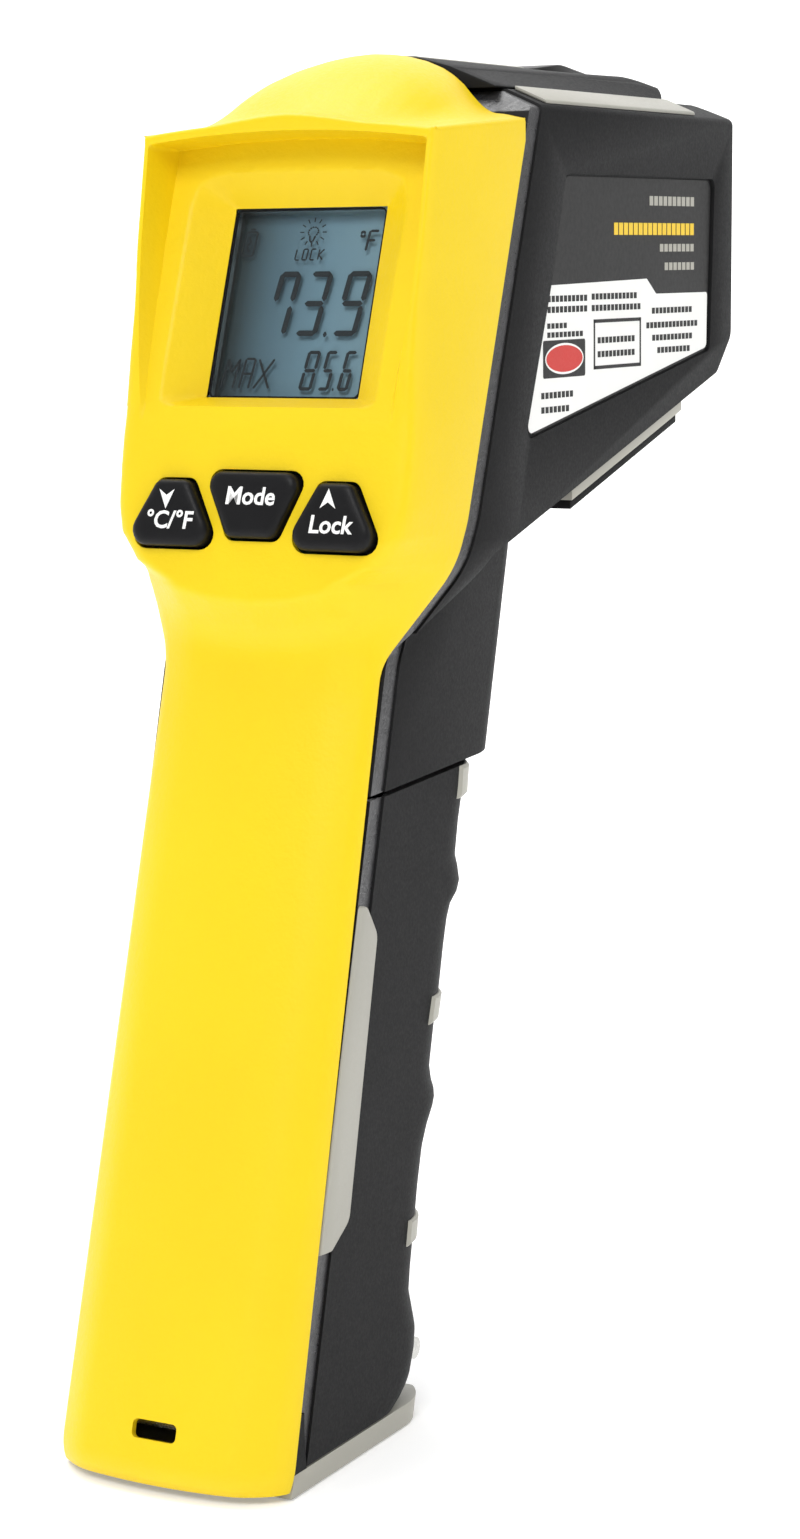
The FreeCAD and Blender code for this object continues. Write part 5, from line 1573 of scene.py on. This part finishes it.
@dataclass
class Housing:
    """The black halves, their label panels, the top cap and the light trim."""

    panel_x: float = 19.0
    sticker_top: float = 125.0
    hub_low: float = 2.6
    hub_back: float = 8.0
    cap_flat_z: float = 149.92
    panel: tuple = ((40.6, 137.0, 1.4), (82.9, 137.0, 1.4), (81.7, 116.2, 1.4), (30.1, 107.6, 1.6),
                    (36.9, 125.1, 2.5))
    sticker: tuple = ((36.6, 124.6, 0.5), (63.3, 125.1, 0.6), (66.0, 123.3, 0.6), (81.4, 123.3, 0.4),
                      (81.2, 116.6, 0.8), (30.9, 108.2, 0.8))

    def side_frame(self, side: float, x: float) -> Matrix:
        """A frame on the barrel's side whose plane reads (y, z) and whose Z points outwards.

        Args:
            side: 1 for the right side, -1 for the left.
            x: how far out the plane lies.

        Returns:
            The frame, in millimetres.
        """
        if side > 0.0:
            axes = Matrix(((0.0, 0.0, 1.0), (1.0, 0.0, 0.0), (0.0, 1.0, 0.0))).to_4x4()
        else:
            axes = Matrix(((0.0, 0.0, -1.0), (1.0, 0.0, 0.0), (0.0, 1.0, 0.0))).to_4x4()
        return Matrix.Translation((side * x, 0.0, 0.0)) @ axes

    def plate(self, name: str, corners: Sequence[tuple[float, float, float]], side: float, x: float,
              thick: float, finish: Finish) -> bpy.types.Object:
        """A thin plate on the barrel's side.

        Args:
            name: the plate's name.
            corners: its (y, z, radius) corners.
            side: 1 for the right side, -1 for the left.
            x: how far out its underside lies.
            thick: its thickness.
            finish: its finish.

        Returns:
            The plate.
        """
        outline = rounded(corners, 6)
        return slab(name, outline, [tuple(range(len(outline)))], self.side_frame(side, x), 0.0,
                    thick, finish)

    def bars(self, side: float) -> list[bpy.types.Object]:
        """Generic printed lines in place of wording: lines of small type and a heading.

        Args:
            side: 1 for the right side, -1 for the left.

        Returns:
            Each line as one piece.
        """
        tag = "right" if side > 0.0 else "left"
        made = []
        dark, pale = Finishes.panel, Finishes.grey_abs
        rows = (
            # foot, start, step, count, width and height of each line of bars, and its ink
            (123.1, 36.7, 1.06, 10, 0.8, 0.7, dark), (121.9, 36.7, 1.06, 10, 0.8, 0.7, dark),
            (120.1, 36.6, 1.06, 5, 0.8, 0.6, dark), (119.1, 36.6, 1.06, 9, 0.8, 0.6, dark),
            (123.2, 48.3, 1.06, 12, 0.8, 0.7, dark), (121.9, 48.3, 1.06, 13, 0.8, 0.7, dark),
            (121.3, 65.2, 1.1, 11, 0.85, 0.7, dark), (119.6, 63.6, 1.1, 14, 0.85, 0.7, dark),
            (118.1, 65.3, 1.1, 11, 0.85, 0.7, dark), (116.6, 66.8, 1.1, 9, 0.85, 0.7, dark),
            (118.2, 49.9, 1.05, 10, 0.8, 0.7, dark), (116.6, 49.9, 1.05, 10, 0.8, 0.7, dark),
            (112.4, 35.0, 1.06, 8, 0.8, 0.7, dark), (110.8, 35.0, 1.06, 7, 0.8, 0.7, dark),
            (134.2, 64.6, 1.35, 10, 1.05, 1.1, pale),
            (130.9, 54.6, 1.38, 17, 1.1, 1.4, Finishes.legend_yellow),
            (128.7, 67.6, 1.3, 8, 1.0, 0.9, pale), (126.5, 69.0, 1.3, 7, 1.0, 0.9, pale),
        )
        for index, (foot, start, step, count, wide, tall, ink) in enumerate(rows):
            row = Repeat(f"print_{tag}_{index}", Layout.ROW, count, step, (wide, tall, 0.02), ink)
            # ink on the sticker lies a little higher than ink on the panel round it
            lift = 0.13 if foot < self.sticker_top else 0.12
            place = self.side_frame(side, self.panel_x + lift) @ Matrix.Translation((start, foot, 0.0))
            made.append(row.build(place))
        return made

    def signs(self, side: float) -> list[bpy.types.Object]:
        """Plain printed shapes, without wording: a block with an oval and an outlined box.

        Args:
            side: 1 for the right side, -1 for the left.

        Returns:
            The shapes.
        """
        tag = "right" if side > 0.0 else "left"
        face = self.panel_x + 0.12
        block = [(35.1, 114.3, 0.3), (46.1, 114.3, 0.3), (46.1, 118.5, 0.3), (35.1, 118.5, 0.3)]
        made = [self.plate(f"sign_block_{tag}", block, side, face, 0.02, Finishes.panel)]
        for name, ink, wide, tall, lift in (("rim", Finishes.film, 5.0, 1.75, 0.02),
                                            ("oval", Finishes.legend_red, 4.75, 1.5, 0.03)):
            oval = [(40.6 + wide * math.cos(angle), 116.4 + tall * math.sin(angle), 0.0)
                    for angle in np.radians(range(0, 360, 10))]
            made.append(self.plate(f"sign_{name}_{tag}", oval, side, face + lift, 0.02, ink))
        low, high, start, end, line = 114.9, 120.6, 48.4, 61.6, 0.4
        for number, (y0, z0, y1, z1) in enumerate((
                (start, low, end, low + line), (start, high - line, end, high),
                (start, low, start + line, high), (end - line, low, end, high))):
            edge = [(y0, z0, 0.0), (y1, z0, 0.0), (y1, z1, 0.0), (y0, z1, 0.0)]
            made.append(self.plate(f"sign_box_{tag}_{number}", edge, side, face, 0.02,
                                   Finishes.panel))
        return made

    def build(self) -> None:
        """Builds the housing's visible pieces."""
        for name in ("housing_left", "housing_right"):
            shell = from_cad(name, Finishes.black_abs, "housing", bevel_mm=0.35)
            paint_rebate(shell, LINES.rebate_wide)
        for side, tag in ((1.0, "right"), (-1.0, "left")):
            film = self.plate(f"label_panel_{tag}", self.inset(self.panel, 0.35), side, self.panel_x,
                              0.1, Finishes.panel)
            dress(film, "housing")
            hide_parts(f"label_{tag}")
            dress(self.plate(f"label_sticker_{tag}", self.sticker, side, self.panel_x + 0.1, 0.02,
                             Finishes.film), "housing")
            for print_piece in self.bars(side) + self.signs(side):
                dress(print_piece, "housing")
        from_cad("top_cap", Finishes.black_abs, "housing", bevel_mm=0.4)
        from_cad("sight_pad", Finishes.black_gloss, "housing", bevel_mm=0.35)
        for name in ("top_band_left", "top_band_right", "keel_band"):
            from_cad(name, Finishes.grey_abs, "housing", bevel_mm=0.25)
        from_cad("keel_cap", Finishes.black_abs, "housing", bevel_mm=0.25)
        from_cad("grip_heels", Finishes.black_abs, "housing")
        base = from_cad("base_cap", Finishes.grey_abs, "housing", bevel_mm=0.3)
        base.data.materials.append(Finishes.black_abs.material())
        for face in base.data.polygons:
            if face.center.z > self.hub_low * MM and face.center.y > self.hub_back * MM:
                face.material_index = 1
        for side in ("left", "right"):
            from_cad(f"release_pad_{side}", Finishes.grey_abs, f"pad_{side}",
                     bevel_mm=0.35)
        from_cad("trigger", Finishes.black_gloss, "trigger", bevel_mm=0.25)
        self.cap_inlay()

    @staticmethod
    def inset(corners: Sequence[tuple[float, float, float]], by: float) -> list:
        """Pulls an outline in towards its middle.

        Args:
            corners: the outline's (y, z, radius) corners.
            by: about how far in.

        Returns:
            The moved corners.
        """
        middle = (sum(c[0] for c in corners) / len(corners), sum(c[1] for c in corners) / len(corners))
        moved = []
        for a, b, radius in corners:
            length = math.hypot(a - middle[0], b - middle[1])
            share = 1.0 - by * 1.3 / length
            moved.append((middle[0] + (a - middle[0]) * share, middle[1] + (b - middle[1]) * share,
                          radius))
        return moved

    def cap_inlay(self) -> None:
        """The light crowned strip along the top of the cap."""
        rows = []
        for y in np.linspace(34.9, 61.6, 10):
            row = []
            for x, lift in ((-3.9, -0.4), (-3.9, 0.12), (-3.5, 0.24), (0.0, 0.42), (3.5, 0.24),
                            (3.9, 0.12), (3.9, -0.4)):
                row.append((x, y, self.cap_flat_z + lift))
            rows.append(row)
        points = [point for row in rows for point in row]
        count = len(rows[0])
        faces = grid_faces(len(rows), count)
        faces += [(r * count, (r + 1) * count, (r + 1) * count + count - 1, r * count + count - 1)
                  for r in range(len(rows) - 1)]
        faces += [tuple(reversed(range(count))), tuple(range((len(rows) - 1) * count, len(rows) * count))]
        piece = new_piece("cap_inlay", points, faces, Finishes.grey_abs)
        clean(piece, 0.0)
        smooth_by_angle(piece.data, 40.0)
        dress(piece, "housing")


# ---------------------------------------------------------------- studio and boxes

@dataclass
class Studio:
    """The pale floor, the soft lights and the camera."""

    location: tuple = (0.18231, -0.30122, 0.12757)
    yaw_deg: float = 28.4
    pitch_deg: float = 8.7
    roll_deg: float = 0.6
    lens_mm: float = 77.87
    middle: tuple = (0.0, 0.02, 0.08)
    behind: tuple = (-0.6, 1.1, 0.2)
    glow: float = 0.44
    sweep_near: float = 900.0
    sweep_reach: float = 4000.0
    sweep_top: float = 3200.0

    def camera(self) -> None:
        """Places the camera."""
        yaw, pitch, roll = (math.radians(a) for a in (self.yaw_deg, self.pitch_deg, self.roll_deg))
        ahead = Vector((-math.sin(yaw) * math.cos(pitch), math.cos(yaw) * math.cos(pitch),
                        -math.sin(pitch)))
        right = Vector((math.cos(yaw), math.sin(yaw), 0.0))
        down = ahead.cross(right)
        turned = right * math.cos(roll) + down * math.sin(roll)
        lower = ahead.cross(turned)
        data = bpy.data.cameras.new("camera")
        data.lens = self.lens_mm
        data.sensor_width = 36.0
        data.clip_start = 0.01
        data.dof.use_dof = False
        camera = bpy.data.objects.new("camera", data)
        axes = Matrix((turned, -lower, -ahead)).transposed().to_4x4()
        camera.matrix_world = Matrix.Translation(self.location) @ axes
        bpy.context.scene.collection.objects.link(camera)
        bpy.context.scene.camera = camera

    def light(self, name: str, place: tuple, target: tuple, size: float, power: float) -> None:
        """Adds one soft square light aimed at a point.

        Args:
            name: the light's name.
            place: where it hangs, in metres.
            target: the point that it is aimed at.
            size: its side, in metres.
            power: its power, in watts.
        """
        data = bpy.data.lights.new(name, "AREA")
        data.size = size
        data.energy = power
        lamp = bpy.data.objects.new(name, data)
        aim = Vector(target) - Vector(place)
        lamp.matrix_world = Matrix.Translation(place) @ aim.to_track_quat("-Z", "Y").to_matrix().to_4x4()
        bpy.context.scene.collection.objects.link(lamp)

    def build(self) -> None:
        """Builds the whole studio."""
        self.camera()
        self.light("key_light", (0.12, -0.75, 0.85), self.middle, 0.45, 5.6)
        self.light("fill_light", (-0.9, -0.3, 0.3), self.middle, 0.8, 0.9)
        self.light("side_light", (1.0, 0.2, 0.5), self.middle, 0.6, 2.6)
        self.light("backdrop_light", (-0.6, 0.4, 1.7), self.behind, 1.2, 24.0)
        bpy.context.scene.view_settings.view_transform = "Standard"
        world = bpy.data.worlds.new("studio")
        bpy.context.scene.world = world
        world.use_nodes = True
        tree = world.node_tree
        tree.nodes.clear()
        glow = add_node(tree, "ShaderNodeBackground", {"Color": linear("FFFFFF"), "Strength": self.glow})
        add_node(tree, "ShaderNodeOutputWorld", {"Surface": glow.outputs[0]})
        self.backdrop()

    def backdrop(self) -> None:
        """The pale floor, which curves up behind the object as a paper sweep does."""
        yaw = math.radians(self.yaw_deg)
        ahead = Vector((-math.sin(yaw), math.cos(yaw)))
        side = Vector((math.cos(yaw), math.sin(yaw)))
        bend = self.sweep_near
        profile = [(-3000.0, 0.0), (bend, 0.0)]
        profile += [(bend + bend * math.sin(angle), bend - bend * math.cos(angle))
                    for angle in np.radians(range(6, 91, 6))]
        profile.append((2.0 * bend, self.sweep_top))
        points = [(ahead.x * far + side.x * wide, ahead.y * far + side.y * wide, up - 0.2)
                  for far, up in profile for wide in (-self.sweep_reach, self.sweep_reach)]
        sweep = new_piece("floor", points, grid_faces(len(profile), 2))
        # matt paper: a shadow shows on it, and it glows a little so that the far sweep stays white
        paper = bpy.data.materials.new("pale_paper")
        paper.use_nodes = True
        shader = paper.node_tree.nodes["Principled BSDF"]
        shader.inputs["Base Color"].default_value = linear("FAFAFA")
        shader.inputs["Roughness"].default_value = 0.95
        shader.inputs["Emission Color"].default_value = linear("FFFFFF")
        shader.inputs["Emission Strength"].default_value = 0.22
        sweep.data.materials.append(paper)


# the finish of each material slot, for the CAD nodes that show as they are
SLOT_FINISHES = {
    "yellow_abs": Finishes.yellow_abs, "black_abs": Finishes.black_abs,
    "grey_abs": Finishes.grey_abs, "key_rubber": Finishes.key_rubber,
    "plated_steel": Finishes.steel, "circuit_board": Finishes.board,
    "inner_abs": Finishes.inner_abs, "chip_resin": Finishes.resin,
    "tube_aluminium": Finishes.aluminium, "lens_glass": Finishes.lens, "brass": Finishes.brass,
    "battery_jacket": Finishes.jacket, "label_film": Finishes.film,
}


def dress_frame() -> None:
    """Gives every CAD node that is still shown its finish."""
    slots = {part["node"]: part["material_slot"] for part in frame["record"]["subparts"]}
    special = {"lcd_cell": lcd_cell(), "window_acrylic": clear_window()}
    for name, node in frame["nodes"].items():
        if node.hide_render:
            continue
        node.data.materials.clear()
        node.data.materials.append(special.get(slots[name]) or SLOT_FINISHES[slots[name]].material())


def main() -> None:
    """Builds the thermometer's looks."""
    logging.basicConfig(level=logging.INFO, format="%(message)s")
    RearCover().build()
    Keys().build()
    Display().build()
    GripDoor().build()
    Housing().build()
    dress_frame()
    Studio().build()


if __name__ == "__main__":
    main()
